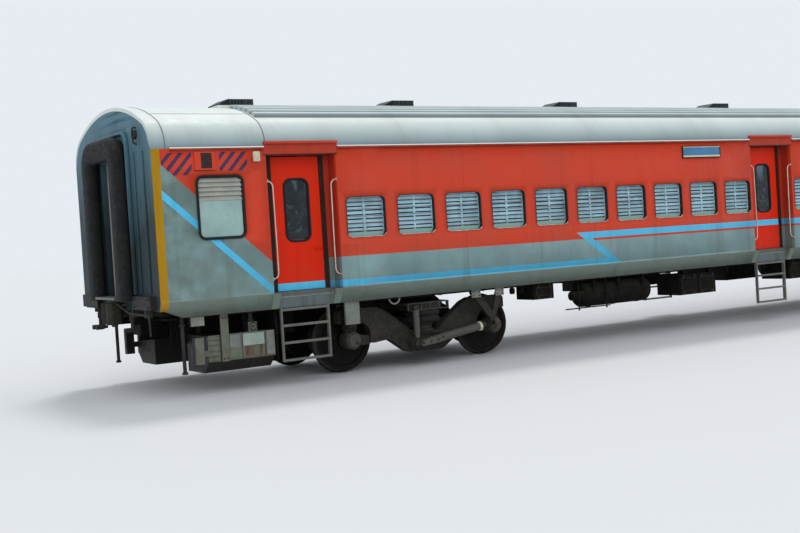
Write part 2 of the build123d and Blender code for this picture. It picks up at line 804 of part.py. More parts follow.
with BuildPart() as underframe:
    inner_length = 2 * (BODY_END - END_PLATE)
    bay_pitch = (inner_length - CROSS_WIDTH) / BAY_COUNT
    with BuildSketch(Plane.XY.offset(UNDERFRAME_FOOT)):
        Rectangle(inner_length, 2 * SOLEBAR_Y)
        with GridLocations(bay_pitch, 0, BAY_COUNT, 1):
            Rectangle(
                bay_pitch - CROSS_WIDTH,
                2 * (SOLEBAR_Y - SOLEBAR_WIDTH),
                mode=Mode.SUBTRACT,
            )
        for side in (-1, 1):
            with Locations((0, side * (DRAFT_SILL_Y + DRAFT_SILL_WIDTH / 2))):
                Rectangle(inner_length, DRAFT_SILL_WIDTH)
    extrude(amount=FLOOR_FOOT - UNDERFRAME_FOOT)
    for x in (-BOGIE_X, BOGIE_X):
        block(
            x - BODY_BOLSTER_HALF,
            x + BODY_BOLSTER_HALF,
            -SOLEBAR_Y,
            SOLEBAR_Y,
            BODY_BOLSTER_FOOT + BODY_BOLSTER_STEP,
            FLOOR_FOOT,
        )
        block(
            x - BODY_BOLSTER_HALF,
            x + BODY_BOLSTER_HALF,
            -SOLEBAR_Y / 3,
            SOLEBAR_Y / 3,
            BODY_BOLSTER_FOOT,
            BODY_BOLSTER_FOOT + BODY_BOLSTER_STEP,
        )
    for end in (-1, 1):
        face = end * (BODY_END - END_PLATE)
        tail = end * (BODY_END - END_PLATE - DRAFT_SILL_LENGTH)
        for side in (-1, 1):
            inner = side * DRAFT_SILL_Y
            outer = side * (DRAFT_SILL_Y + DRAFT_SILL_WIDTH)
            block(
                min(face, tail),
                max(face, tail),
                min(inner, outer),
                max(inner, outer),
                DRAFT_SILL_FOOT,
                FLOOR_FOOT,
            )
        block(
            min(face, tail),
            max(face, tail),
            -DRAFT_SILL_Y,
            DRAFT_SILL_Y,
            DRAFT_SILL_FOOT,
            DRAFT_POCKET_TOP,
            mode=Mode.SUBTRACT,
        )
        block(
            min(tail, tail - end * CROSS_WIDTH),
            max(tail, tail - end * CROSS_WIDTH),
            -DRAFT_SILL_Y - DRAFT_SILL_WIDTH,
            DRAFT_SILL_Y + DRAFT_SILL_WIDTH,
            DRAFT_SILL_FOOT,
            FLOOR_FOOT,
        )
keep("underframe", underframe.part)

# Screens across the coach beside each vestibule, open at the aisle, and the walls of the end corridor
SCREEN_THICKNESS = 20
AISLE_HALF = 430
SCREEN_XS = [
    middle + end * (RECESS_HALF + RECESS_POST + SCREEN_THICKNESS / 2)
    for middle in DOOR_XS
    for end in (-1, 1)
]

with BuildPart() as screens:
    for x in SCREEN_XS:
        for side in (-1, 1):
            inner = side * AISLE_HALF
            outer = side * (SIDE_Y - WALL)
            block(
                x - SCREEN_THICKNESS / 2,
                x + SCREEN_THICKNESS / 2,
                min(inner, outer),
                max(inner, outer),
                FLOOR_TOP,
                SIDE_TOP,
            )
keep("screens", screens.part)

with BuildPart() as corridor_walls:
    for end in (-1, 1):
        start = end * (BODY_END - END_PLATE)
        stop = end * (abs(SCREEN_XS[0]) + SCREEN_THICKNESS / 2)
        for side in (-1, 1):
            inner = side * AISLE_HALF
            outer = side * (AISLE_HALF + SCREEN_THICKNESS)
            block(
                min(start, stop),
                max(start, stop),
                min(inner, outer),
                max(inner, outer),
                FLOOR_TOP,
                SIDE_TOP,
            )
keep("corridor_walls", corridor_walls.part)

# Small fittings on the side: x of the middle, width, low z, high z and depth, drawn on the right side
VENT_BOXES = [
    (-11045, 290, 3000, 3240, 34),
    (11045, 290, 3000, 3240, 34),
]
SIDE_LAMPS = [
    (-10290, 100, 3100, 3236, 60),
    (10290, 100, 3100, 3236, 60),
]
BOARDS = [
    (-1790, 900, 3010, 3190, 18),
]
GRILLE_BORDER = 45
GRILLE_DEPTH = 22

with BuildPart() as vents:
    for x, width, low, high, depth in VENT_BOXES:
        block(x - width / 2, x + width / 2, -SIDE_Y - depth, -SIDE_Y, low, high)
        block(
            x - width / 2 + 2 * GRILLE_BORDER,
            x + width / 2 - GRILLE_BORDER,
            -SIDE_Y - depth,
            -SIDE_Y - depth + GRILLE_DEPTH,
            low + GRILLE_BORDER,
            high - GRILLE_BORDER,
            mode=Mode.SUBTRACT,
        )

with BuildPart() as lamps:
    for x, width, low, high, depth in SIDE_LAMPS:
        block(x - width / 2, x + width / 2, -SIDE_Y - depth, -SIDE_Y, low, high)

with BuildPart() as boards:
    for x, width, low, high, depth in BOARDS:
        block(x - width / 2, x + width / 2, -SIDE_Y - depth, -SIDE_Y, low, high)

for name, source in (
    ("side_vents", vents),
    ("side_lamps", lamps),
    ("name_boards", boards),
):
    with BuildPart() as fitting:
        with Locations(RIGHT, LEFT):
            add(source.part)
    keep(name, fitting.part)

# Couplers: a shank between the draft sills and a knuckle head at the end
SHANK_HALF = 60
SHANK_LENGTH = 640
HEAD_BACK = 11770
HEAD_HALF_HEIGHT = 150

# Outline of the head seen from above: x back from the coupling face, y
HEAD_OUTLINE = [
    (COUPLER_X - HEAD_BACK, -90),
    (170, -150),
    (20, -190),
    (0, -150),
    (70, -90),
    (100, 10),
    (60, 40),
    (0, 60),
    (6, 130),
    (60, 170),
    (190, 150),
    (COUPLER_X - HEAD_BACK, 90),
]

with BuildPart() as coupler:
    block(
        HEAD_BACK - SHANK_LENGTH,
        HEAD_BACK,
        -SHANK_HALF,
        SHANK_HALF,
        COUPLER_Z - SHANK_HALF,
        COUPLER_Z + SHANK_HALF,
    )
    with BuildSketch(Plane.XY.offset(COUPLER_Z - HEAD_HALF_HEIGHT)):
        with BuildLine():
            Polyline(*[(COUPLER_X - back, y) for back, y in HEAD_OUTLINE], close=True)
        make_face()
    extrude(amount=2 * HEAD_HALF_HEIGHT)

with BuildPart() as couplers:
    with Locations(RIGHT, LEFT):
        add(coupler.part)
keep("couplers", couplers.part)

# Underfloor equipment on the right side: low x, high x, outer y, inner y, low z, high z of each box
BATTERY_BOXES = [
    (-5450, -5040, 1350, 900, 810, 1060),
    (-2210, -1320, 1350, 800, 620, 980),
    (650, 2600, 1350, 700, 700, 1040),
]
AIR_TANKS = [
    (-4600, -2770, 1330, 700, 530, 1030),
]
HANGER = (60, 40)

# A relay box under the solebar, and a bracket further out: the same columns, but fixed without hangers
SOLEBAR_BOXES = [
    (-8955, -8725, 1440, 1300, 744, UNDERFRAME_FOOT),
    (-11315, -11120, 1440, 1380, 945, UNDERFRAME_FOOT),
]


def hung_box(x0, x1, outer_y, inner_y, z0, z1):
    """A box under the floor with two strap hangers up to the underframe."""
    block(x0, x1, -outer_y, -inner_y, z0, z1)
    for x in (x0 + 2 * HANGER[0], x1 - 2 * HANGER[0]):
        block(
            x - HANGER[0] / 2,
            x + HANGER[0] / 2,
            -outer_y,
            -outer_y + HANGER[1],
            z1,
            UNDERFRAME_FOOT,
        )


for name, hung_table, fixed_table in (
    ("battery_boxes", BATTERY_BOXES, SOLEBAR_BOXES),
    ("air_tanks", AIR_TANKS, []),
):
    with BuildPart() as hung:
        for row in hung_table:
            hung_box(*row)
        for x0, x1, outer_y, inner_y, z0, z1 in fixed_table:
            block(x0, x1, -outer_y, -inner_y, z0, z1)
    with BuildPart() as both:
        with Locations(RIGHT, LEFT):
            add(hung.part)
    keep(name, both.part)

# Waste tanks: a tank whose lower front edge is cut away, held by a wide strap and two posts, with a slim
# cover beside it and a valve on top. The section gives y and z, the blocks their low and high corners.
TANK_X = (-11070, -10080)
TANK_SECTION = [
    (-1400, 790),
    (-1400, 440),
    (-1220, 280),
    (-650, 280),
    (-650, 790),
]
TANK_BLOCKS = [
    ((-10885, -1430, 430), (-10770, -1400, UNDERFRAME_FOOT)),
    ((-10960, -760, 790), (-10900, -720, UNDERFRAME_FOOT)),
    ((-10260, -760, 790), (-10200, -720, UNDERFRAME_FOOT)),
    ((-10455, -1380, 790), (-10325, -1250, 925)),
    ((-11140, -1400, 520), (-11070, -1340, 600)),
    ((-11265, -1440, 420), (-11140, -1340, 785)),
]

with BuildPart() as tank:
    with BuildSketch(Plane.YZ.offset(TANK_X[0])):
        with BuildLine():
            Polyline(*TANK_SECTION, close=True)
        make_face()
    extrude(amount=TANK_X[1] - TANK_X[0])
    for (x0, y0, z0), (x1, y1, z1) in TANK_BLOCKS:
        block(x0, x1, y0, y1, z0, z1)

with BuildPart() as waste_tanks:
    with Locations(RIGHT, LEFT):
        add(tank.part)
        add(tank.part.mirror(Plane.YZ))
keep("waste_tanks", waste_tanks.part)

# Yaw damper brackets: a V of two arms under the solebar at each bogie
BRACKET_Y = (1375, 1430)
BRACKET_TIP = (1110, 540)
BRACKET_TOPS = (720, 1330)
BRACKET_ARM = 90
TIP_HALF = (40, 60)
BRACKET_CROTCH = 170

with BuildPart() as bracket:
    with BuildSketch(Plane.XZ.offset(BRACKET_Y[0])):
        with BuildLine():
            tip_x, tip_z = BRACKET_TIP
            left_x, right_x = BRACKET_TOPS
            Polyline(
                (left_x, UNDERFRAME_FOOT),
                (left_x, UNDERFRAME_FOOT - BRACKET_ARM),
                (tip_x - TIP_HALF[0], tip_z + TIP_HALF[1]),
                (tip_x - TIP_HALF[0], tip_z - TIP_HALF[1]),
                (tip_x + TIP_HALF[0], tip_z - TIP_HALF[1]),
                (tip_x + TIP_HALF[0], tip_z + TIP_HALF[1]),
                (right_x, UNDERFRAME_FOOT - BRACKET_ARM),
                (right_x, UNDERFRAME_FOOT),
                (right_x - BRACKET_ARM, UNDERFRAME_FOOT),
                (tip_x, tip_z + BRACKET_CROTCH),
                (left_x + BRACKET_ARM, UNDERFRAME_FOOT),
                close=True,
            )
        make_face()
    extrude(amount=BRACKET_Y[1] - BRACKET_Y[0])

with BuildPart() as yaw_brackets:
    for end in (-1, 1):
        for side in (-1, 1):
            corner = bracket.part
            if end > 0:
                corner = corner.mirror(Plane.YZ)
            if side > 0:
                corner = corner.mirror(Plane.XZ)
            with Locations((end * BOGIE_X, 0, 0)):
                add(corner)
keep("yaw_brackets", yaw_brackets.part)

# Bogies: drawn about their own middle, then set under each end, the second turned half round
FRAME_Y = 1040
FRAME_WIDTH_Y = 150
TRANSOM_X = 430
TRANSOM_Z = 560
TRANSOM_RADIUS = 85
GUIDE_OUTER = 965

# Brackets that carry the dampers' pins: low x, high x, low z and high z, on the frame and on the bolster
PIN_Y = 1330
FRAME_BRACKET = (-330, -160, 300, 400)
BOLSTER_BRACKET = (-330, -200, 850, 920)


def pin_bracket(side, inner_y, low_x, high_x, low_z, high_z):
    """A block that stands out across the bogie as far as the dampers' pins."""
    low_y, high_y = sorted((side * inner_y, side * PIN_Y))
    block(low_x, high_x, low_y, high_y, low_z, high_z)


# Half of a side frame's outline: x from the bogie's middle, z. It humps over the axlebox, comes down as a
# guide leg beside it, and drops low in the middle under the air spring.
FRAME_OUTLINE = [
    (200, 500),
    (270, 555),
    (480, 715),
    (720, 890),
    (860, 945),
    (1450, 945),
    (1500, 905),
    (1500, 745),
    (1130, 745),
    (1040, 705),
    (985, 640),
    (GUIDE_OUTER, 560),
    (GUIDE_OUTER, 430),
    (925, 415),
    (650, 445),
    (350, 235),
    (290, 212),
]

with BuildPart() as frame:
    outline = FRAME_OUTLINE + [(-x, z) for x, z in reversed(FRAME_OUTLINE)]
    for side in (-1, 1):
        low_y = FRAME_Y if side > 0 else -FRAME_Y - FRAME_WIDTH_Y
        with BuildSketch(Plane.XZ.offset(-low_y - FRAME_WIDTH_Y)):
            with BuildLine():
                Polyline(*outline, close=True)
            make_face()
        extrude(amount=FRAME_WIDTH_Y)
        pin_bracket(side, FRAME_Y + FRAME_WIDTH_Y, *FRAME_BRACKET)
    for x in (-TRANSOM_X, TRANSOM_X):
        prism((x, -FRAME_Y, TRANSOM_Z), (x, FRAME_Y, TRANSOM_Z), TRANSOM_RADIUS, DRUM_SIDES)

BOLSTER_HALF = 240
BOLSTER_FOOT = 830
BOLSTER_TOP = 925
BOLSTER_Y = 1300
BOLSTER_PLATE = (390, 1200, 950)
BRACKET_ROOT_Y = 1240
PAD_TOP = 1005
PAD_RADIUS = 230

with BuildPart() as bolster:
    block(-BOLSTER_HALF, BOLSTER_HALF, -BOLSTER_Y, BOLSTER_Y, BOLSTER_FOOT, BOLSTER_TOP)
    plate_half, plate_y, plate_top = BOLSTER_PLATE
    block(-plate_half, plate_half, -plate_y, plate_y, BOLSTER_TOP, plate_top)
    prism((0, 0, plate_top), (0, 0, PAD_TOP), PAD_RADIUS, DISC_SIDES)
    for side in (-1, 1):
        pin_bracket(side, BRACKET_ROOT_Y, *BOLSTER_BRACKET)

SPRING_Y = FRAME_Y + FRAME_WIDTH_Y / 2
PRIMARY_RADIUS = 120
BOX_TOP = 650
PRIMARY_TOP = 745

# Air spring: low z, high z and radius of its foot, its waist and its two bellows rings
AIR_SPRING = [
    (500, 640, 170),
    (640, 728, 245),
    (728, 742, 205),
    (742, BOLSTER_FOOT, 245),
]

with BuildPart() as springs:
    for side in (-1, 1):
        y = side * SPRING_Y
        for low, high, radius in AIR_SPRING:
            prism((0, y, low), (0, y, high), radius, DRUM_SIDES)
        for x in (-AXLE_X, AXLE_X):
            prism((x, y, BOX_TOP), (x, y, PRIMARY_TOP), PRIMARY_RADIUS, DRUM_SIDES)

BOX_RADIUS = 140
BOX_Y = (1010, 1220)
BOX_HALF = 90
COVER_RADIUS = 105
COVER_Y = 1290
ARM_Z = (420, 540)
ARM_HALF = 45
ARM_GAP = 4
JOURNAL_GAP = 0.5
BORE_DEPTH = 150

with BuildPart() as axleboxes:
    for side in (-1, 1):
        for end in (-1, 1):
            x = end * AXLE_X
            inner = (x, side * BOX_Y[0], AXLE_Z)
            outer = (x, side * BOX_Y[1], AXLE_Z)
            cover = (x, side * COVER_Y, AXLE_Z)
            prism(inner, outer, BOX_RADIUS, DRUM_SIDES)
            prism(outer, cover, COVER_RADIUS, DRUM_SIDES)
            low_x, high_x = sorted((x, end * (GUIDE_OUTER + ARM_GAP)))
            near_y, far_y = side * SPRING_Y - ARM_HALF, side * SPRING_Y + ARM_HALF
            block(low_x, high_x, near_y, far_y, *ARM_Z)
            block(x - BOX_HALF, x + BOX_HALF, near_y, far_y, AXLE_Z, BOX_TOP)
            with BuildSketch(Plane(origin=inner, z_dir=(0, side, 0))) as bore:
                RegularPolygon(JOURNAL_RADIUS + JOURNAL_GAP, DRUM_SIDES, major_radius=False)
            extrude(bore.sketch, amount=BORE_DEPTH, mode=Mode.SUBTRACT)

# Dampers: (x, z) of both ends, distance across, radius of the body and of the rod, and how many of the
# ends are pinned to the bogie. The far end of the yaw damper belongs to the bracket under the solebar.
DAMPERS = [
    ((-200, 350), (1000, 520), 1390, 50, 28, 1),
    ((-285, 350), (-285, 885), 1400, 45, 26, 2),
]
DAMPER_BODY = (0.45, 0.95)
PIN_RADIUS = 22


def damper(start, stop, y, body_radius, rod_radius):
    """A thin rod from end to end with a thick body over its second half."""
    eye = Vector(start[0], y, start[1])
    reach = Vector(stop[0], y, stop[1]) - eye
    body_start = eye + reach * DAMPER_BODY[0]
    body_stop = eye + reach * DAMPER_BODY[1]
    prism(eye, eye + reach, rod_radius, ROD_SIDES)
    prism(body_start, body_stop, body_radius, ROD_SIDES)


with BuildPart() as dampers:
    for side in (-1, 1):
        for start, stop, y, body_radius, rod_radius, pin_count in DAMPERS:
            damper(start, stop, side * y, body_radius, rod_radius)
            for x, z in (start, stop)[:pin_count]:
                prism((x, side * PIN_Y, z), (x, side * y, z), PIN_RADIUS, ROD_SIDES)

for bogie, place in (
    ("bogie_1", Location((-BOGIE_X, 0, 0))),
    ("bogie_2", Location((BOGIE_X, 0, 0), (0, 0, 180))),
):
    for name, source in (
        ("frame", frame),
        ("bolster", bolster),
        ("springs", springs),
        ("axleboxes", axleboxes),
        ("dampers", dampers),
    ):
        with BuildPart() as placed:
            with Locations(place):
                add(source.part)
        keep(f"{bogie}_{name}", placed.part)

# Wheelsets: an axle with two flanged wheels and two brake discs, turned as one piece
WHEEL_BACK_Y = 800
WHEEL_FACE_Y = 927
FLANGE_WIDTH = 32
RIM_INNER = 385
WEB_SETBACK = 30
AXLE_RADIUS = 85
DISC_Y = 430
DISC_HALF = 55
DISC_RADIUS = 320
JOURNAL_END = 1140

with BuildPart() as wheelset:
    with BuildSketch(Plane.XY):
        for side in (-1, 1):
            with BuildLine():
                profile = [
                    (0, 0),
                    (0, JOURNAL_END),
                    (JOURNAL_RADIUS, JOURNAL_END),
                    (JOURNAL_RADIUS, WHEEL_FACE_Y - WEB_SETBACK),
                    (TREAD_RADIUS, WHEEL_FACE_Y - WEB_SETBACK),
                    (TREAD_RADIUS, WHEEL_BACK_Y + FLANGE_WIDTH),
                    (AXLE_Z, WHEEL_BACK_Y),
                    (AXLE_RADIUS, WHEEL_BACK_Y),
                    (AXLE_RADIUS, 0),
                ]
                Polyline(*[(x, side * y) for x, y in profile], close=True)
            make_face()
    revolve(axis=Axis.Y)
    for side in (-1, 1):
        inner = (0, side * (DISC_Y - DISC_HALF), 0)
        outer = (0, side * (DISC_Y + DISC_HALF), 0)
        prism(inner, outer, DISC_RADIUS, DISC_SIDES)
        web = Plane(origin=(0, side * (WHEEL_FACE_Y - WEB_SETBACK), 0), z_dir=(0, side, 0))
        with BuildSketch(web) as rim:
            Circle(TREAD_RADIUS)
            RegularPolygon(RIM_INNER, DISC_SIDES, mode=Mode.SUBTRACT)
        extrude(rim.sketch, amount=WEB_SETBACK)

WHEELSETS = {
    "wheelset_1": -BOGIE_X - AXLE_X,
    "wheelset_2": -BOGIE_X + AXLE_X,
    "wheelset_3": BOGIE_X - AXLE_X,
    "wheelset_4": BOGIE_X + AXLE_X,
}
for name, x in WHEELSETS.items():
    with BuildPart() as placed:
        with Locations((x, 0, AXLE_Z)):
            add(wheelset.part)
    keep(name, placed.part)

print(len(pieces), "pieces")
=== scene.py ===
# %% [markdown]
# # A railway coach, dressed piece by piece
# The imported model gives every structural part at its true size. This lesson
# puts the finish on them: paint with its stripes and dirt, rubber, glass,
# springs and pipes. Lengths are in metres. X runs along the coach, Y across
# it and Z up, and the coach looks the same after half a turn about Z.

# %% Load the frame
import itertools
from functools import partialmethod

import bmesh
import bpy
import numpy as np
from mathutils import Matrix


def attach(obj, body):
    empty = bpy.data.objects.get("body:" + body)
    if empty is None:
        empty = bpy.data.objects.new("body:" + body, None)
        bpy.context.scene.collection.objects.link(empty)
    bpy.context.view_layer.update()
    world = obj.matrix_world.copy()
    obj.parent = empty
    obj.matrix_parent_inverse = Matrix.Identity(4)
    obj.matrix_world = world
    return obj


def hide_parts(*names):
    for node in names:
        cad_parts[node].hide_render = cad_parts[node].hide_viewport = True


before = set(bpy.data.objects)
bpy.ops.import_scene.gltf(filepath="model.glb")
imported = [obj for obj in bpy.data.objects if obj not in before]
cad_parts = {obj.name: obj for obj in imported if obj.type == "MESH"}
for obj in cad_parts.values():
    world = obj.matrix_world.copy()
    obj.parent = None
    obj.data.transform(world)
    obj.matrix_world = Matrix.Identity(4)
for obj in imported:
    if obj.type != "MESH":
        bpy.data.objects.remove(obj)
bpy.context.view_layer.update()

# %% [markdown]
# ## Where things are
# A few driving sizes are enough, and most can be read from the frame. The
# right side of the coach is the one at negative Y.

# %% Driving sizes
SIDE_Y, WALL = 1.62, 0.06
BODY_END = 11.77
SIDE_TOP, CREASE_Z, CROWN_Z = 3.29, 1.29, 4.0
SKIRT_Y, SKIRT_Z = 1.50, 1.074
DOOR_XS = (-9.604, 0.0, 9.604)
HINGE_SIDES = (-1, 1, 1)
RECESS_HALF = 0.54
LEAF_Y = 1.40
BOGIE_X, AXLE_X, AXLE_Z = 7.45, 1.28, 0.4855
WINDOW_GAP, WINDOW_PITCH = 0.92, 0.8548
WINDOW_XS = [side * (WINDOW_GAP + WINDOW_PITCH * i) for side in (-1, 1) for i in range(10)]
WINDOW_Z, WINDOW_SIZE = 2.28, (0.65, 0.58, 0.08)
print(len(WINDOW_XS), "windows a side, the first at", min(WINDOW_XS))

# %% [markdown]
# ## The camera
# The photographer stood near the left end of the coach, at about the height
# of a standing person's eyes, and held the camera a few degrees off level.
# The columns of the camera's matrix are its right, its up and its back.

# %% The camera
EYE = (-17.066, -15.994, 1.999)
YAW, PITCH, ROLL = np.radians((32.03, -1.33, -3.59))
FOCAL_PIXELS, PICTURE_WIDTH, SENSOR = 1162.6, 800, 36.0

ahead = np.array([np.sin(YAW) * np.cos(PITCH), np.cos(YAW) * np.cos(PITCH), np.sin(PITCH)])
level = np.array([np.cos(YAW), -np.sin(YAW), 0.0])
above = np.cross(level, ahead)
right = level * np.cos(ROLL) + above * np.sin(ROLL)
up = above * np.cos(ROLL) - level * np.sin(ROLL)
camera_data = bpy.data.cameras.new("photo_camera")
camera_data.sensor_width = SENSOR
camera_data.lens = FOCAL_PIXELS / PICTURE_WIDTH * SENSOR
camera_data.shift_x, camera_data.shift_y = -0.0016, -0.007
camera = bpy.data.objects.new("photo_camera", camera_data)
axes = np.column_stack([right, up, -ahead])
camera.matrix_world = Matrix.Translation(EYE) @ Matrix(axes.tolist()).to_4x4()
bpy.context.scene.collection.objects.link(camera)
bpy.context.scene.camera = camera
print("focal length", round(camera_data.lens, 1), "mm")

# %% [markdown]
# ## Surfaces from arrays
# Every new piece is a grid of points: a function of two parameters, worked
# out for the whole grid at once. A `Piece` gathers such grids. One window or
# one bogie side is drawn about X = 0 and copied to its places by a sum, and
# then the mesh gets doubled points merged and its faces turned outwards.

# %% A piece made of grids


def quads(rows, cols, close_rows, close_cols):
    """Corner numbers of the four-sided faces of a grid, with each side open or closed on itself."""
    row = np.arange(rows if close_rows else rows - 1)
    col = np.arange(cols if close_cols else cols - 1)
    row, col = np.meshgrid(row, col, indexing="ij")
    next_row, next_col = (row + 1) % rows, (col + 1) % cols
    corners = (row * cols + col, row * cols + next_col, next_row * cols + next_col, next_row * cols + col)
    return np.stack(corners, axis=-1).reshape(-1, 4).tolist()


class Piece:
    """The points and faces of one object, gathered part by part."""

    def __init__(self):
        self.points, self.faces, self.total = [], [], 0

    def add(self, points, faces):
        """Adds points, and faces that count from the first of them."""
        self.points.append(np.reshape(points, (-1, 3)))
        self.faces.extend([corner + self.total for corner in face] for face in faces)
        self.total += len(self.points[-1])

    def grid(self, points, close_rows=False, close_cols=True, ends=False):
        """Adds a grid of points, row by row, and closes its first and last row if they are ends."""
        rows, cols = points.shape[:2]
        faces = quads(rows, cols, close_rows, close_cols)
        if ends:
            faces += [list(range(cols)), list(range((rows - 1) * cols, rows * cols))]
        self.add(points, faces)

    def placed(self, *places):
        """A new piece with a copy at each place: (sign of X, sign of Y, shift along X)."""
        whole = Piece()
        for x_sign, y_sign, shift in places:
            whole.add(np.concatenate(self.points) * (x_sign, y_sign, 1) + (shift, 0, 0), self.faces)
        return whole

    def build(self, name, finish, places=((1, 1, 0),), body="coach", slot=None, stands_for=(),
              smooth=35, turned=True):
        """Makes the mesh at its places, on the coach also after half a turn about Z, for the left side."""
        if turned and body == "coach":
            places = [(turn * x, turn * y, turn * shift) for turn in (1, -1) for x, y, shift in places]
        whole = self.placed(*places)
        mesh = bpy.data.meshes.new(name)
        mesh.from_pydata(np.concatenate(whole.points).tolist(), [], whole.faces)
        work = bmesh.new()
        work.from_mesh(mesh)
        bmesh.ops.remove_doubles(work, verts=work.verts, dist=1e-5)
        bmesh.ops.dissolve_degenerate(work, edges=work.edges, dist=1e-6)
        bmesh.ops.recalc_face_normals(work, faces=work.faces)
        work.to_mesh(mesh)
        work.free()
        mesh.shade_smooth()
        mesh.set_sharp_from_angle(angle=np.radians(smooth))
        mesh.materials.append(finish.material)
        item = bpy.data.objects.new(name, mesh)
        bpy.context.scene.collection.objects.link(item)
        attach(item, body)
        if stands_for:
            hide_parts(*stands_for)
        print(name, len(mesh.polygons), "faces")
        return item


def at(*shifts):
    """Places along X."""
    return [(1, 1, shift) for shift in shifts]


# %% [markdown]
# Boxes, tubes, turned parts and rings come up again and again, so each gets
# one function. A box has its edges cut at 45 degrees, because no real edge is
# perfectly sharp and the cut catches a thin line of light.

# %% Boxes with cut edges
BOX_SIGNS = np.repeat(list(itertools.product((-1, 1), repeat=3)), 3, axis=0)
BOX_INSET = np.tile(1 - np.eye(3), (8, 1))


def box_faces():
    """A box's 6 faces, 12 edge strips and 8 corners: the points that reach furthest along each way."""
    points = BOX_SIGNS * (1 - 0.3 * BOX_INSET)
    faces = []
    for way in filter(any, itertools.product((-1, 0, 1), repeat=3)):
        reach = points @ way
        face = np.flatnonzero(reach > reach.max() - 0.01)
        side = np.cross(way, (0.3, 0.5, 0.8))
        spokes = points[face] - points[face].mean(0)
        turn = np.arctan2(spokes @ np.cross(way, side), spokes @ side)
        faces.append(face[np.argsort(turn)].tolist())
    return faces


BOX_FACES = box_faces()


def boxes(piece, cut, *corners):
    """Adds boxes with cut edges, each from (x, y, z) of one corner to (x, y, z) of the opposite one."""
    for low, high in np.reshape(corners, (-1, 2, 3)):
        half = np.abs(high - low) / 2
        reach = half - BOX_INSET * min(cut, 0.45 * half.min())
        piece.add((low + high) / 2 + BOX_SIGNS * reach, BOX_FACES)


# %% Tubes, turned parts and rings


def unit(vectors):
    """Vectors divided by their own lengths."""
    return vectors / np.linalg.norm(vectors, axis=-1, keepdims=True)


def circle(one, two, sides):
    """Points round a circle: one * cos(angle) + two * sin(angle)."""
    angle = np.linspace(0, 2 * np.pi, sides, endpoint=False)[:, None]
    return one * np.cos(angle) + two * np.sin(angle)


def tube(piece, path, radius, sides=10, across=(0, 0, 1)):
    """Adds a round tube: circles set square to the path, with a fixed direction to turn them from."""
    path = np.asarray(path, float)
    ahead = unit(np.gradient(path, axis=0))
    side = unit(np.cross(ahead, across))
    ring = circle(side[:, None], np.cross(side, ahead)[:, None], sides)
    piece.grid(path[:, None] + radius * ring, ends=True)


def bar(piece, start, ahead, one, two, profile, sides):
    """Adds a turned part: start + along * ahead + radius * circle, for a profile of (along, radius)."""
    along, radius = np.asarray(profile, float).T[:, :, None, None]
    piece.grid(start + along * ahead + radius * circle(one, two, sides), ends=True)


def lathe(piece, profile, centre, axis, sides=32):
    """Adds a turned part about a line along X, Y or Z."""
    one, two = np.delete(np.eye(3), axis, axis=0)
    bar(piece, np.asarray(centre), np.eye(3)[axis], one, two, profile, sides)


def rounded_loop(width, height, radius, steps=7):
    """Points round a rectangle whose corners are quarter circles, anticlockwise about its middle."""
    angle = np.arange(4)[:, None] * np.pi / 2 + np.linspace(0, np.pi / 2, steps + 1)
    x = (width / 2 - radius) * np.array((1, -1, -1, 1))[:, None] + radius * np.cos(angle)
    z = (height / 2 - radius) * np.array((1, 1, -1, -1))[:, None] + radius * np.sin(angle)
    return np.stack([x, z], axis=-1).reshape(-1, 2)


def layers(piece, loops, axis=1, closed=False, ends=False):
    """Adds a surface through flat loops, each at its own place along an axis."""
    rows = [np.insert(np.asarray(loop, float), axis, place, axis=1) for loop, place in loops]
    piece.grid(np.array(rows), close_rows=closed, ends=ends)


def wall_ring(piece, z, size, profile, steps=7, solid=False):
    """Adds a ring in the side wall: a profile of (growth of the outline, y) carried round an opening."""
    width, height, radius = size
    loops = []
    for growth, y in profile:
        corner = max(radius + growth, 0.002)
        loops.append((rounded_loop(width + 2 * growth, height + 2 * growth, corner, steps) + (0, z), y))
    layers(piece, loops, closed=not solid, ends=solid)


def bend(corners, radius, steps=5):
    """A path through some corners with each bend rounded: a curve from a point before it to one after."""
    corners = np.asarray(corners, float)
    path = [corners[:1]]
    share = np.linspace(0, 1, steps + 1)[:, None]
    for before, corner, after in zip(corners, corners[1:], corners[2:]):
        start = corner + unit(before - corner) * radius
        stop = corner + unit(after - corner) * radius
        path.append((1 - share) ** 2 * start + 2 * share * (1 - share) * corner + share**2 * stop)
    return np.concatenate(path + [corners[-1:]])


def bolts(piece, places, axis, radius=0.011, height=0.009):
    """Adds hexagonal bolt heads, each standing on its place along an axis."""
    for place in places:
        lathe(piece, [(0, radius), (0.7 * height, radius), (height, 0.75 * radius)], place, axis, 6)


# %% Slabs and runs


def inset(outline, width):
    """An outline moved inwards: each corner slides by width * (n1 + n2) / (1 + n1.n2), its edges' normals."""
    turn = np.roll(outline, -1, 0)
    area = (outline[:, 0] * turn[:, 1] - outline[:, 1] * turn[:, 0]).sum()
    edge = (turn - outline) * np.sign(area)
    normal = unit(np.column_stack([-edge[:, 1], edge[:, 0]]))
    before = np.roll(normal, 1, 0)
    return outline + width * (normal + before) / (1 + (normal * before).sum(1, keepdims=True))


def slab(piece, outline, y0, y1, cut=0.004):
    """Adds a plate: an outline of (x, z) carried from one y to another, its edges cut at both faces."""
    rim = inset(np.asarray(outline, float), cut)
    step = cut * np.sign(y1 - y0)
    layers(piece, [(rim, y0), (outline, y0 + step), (outline, y1 - step), (rim, y1)], ends=True)


def bead(piece, outline, width, y0, y1):
    """Adds a raised edge: the strip between an outline of (x, z) and the same outline moved inwards."""
    rim = inset(outline, width)
    layers(piece, [(outline, y0), (outline, y1), (rim, y1), (rim, y0)], closed=True)


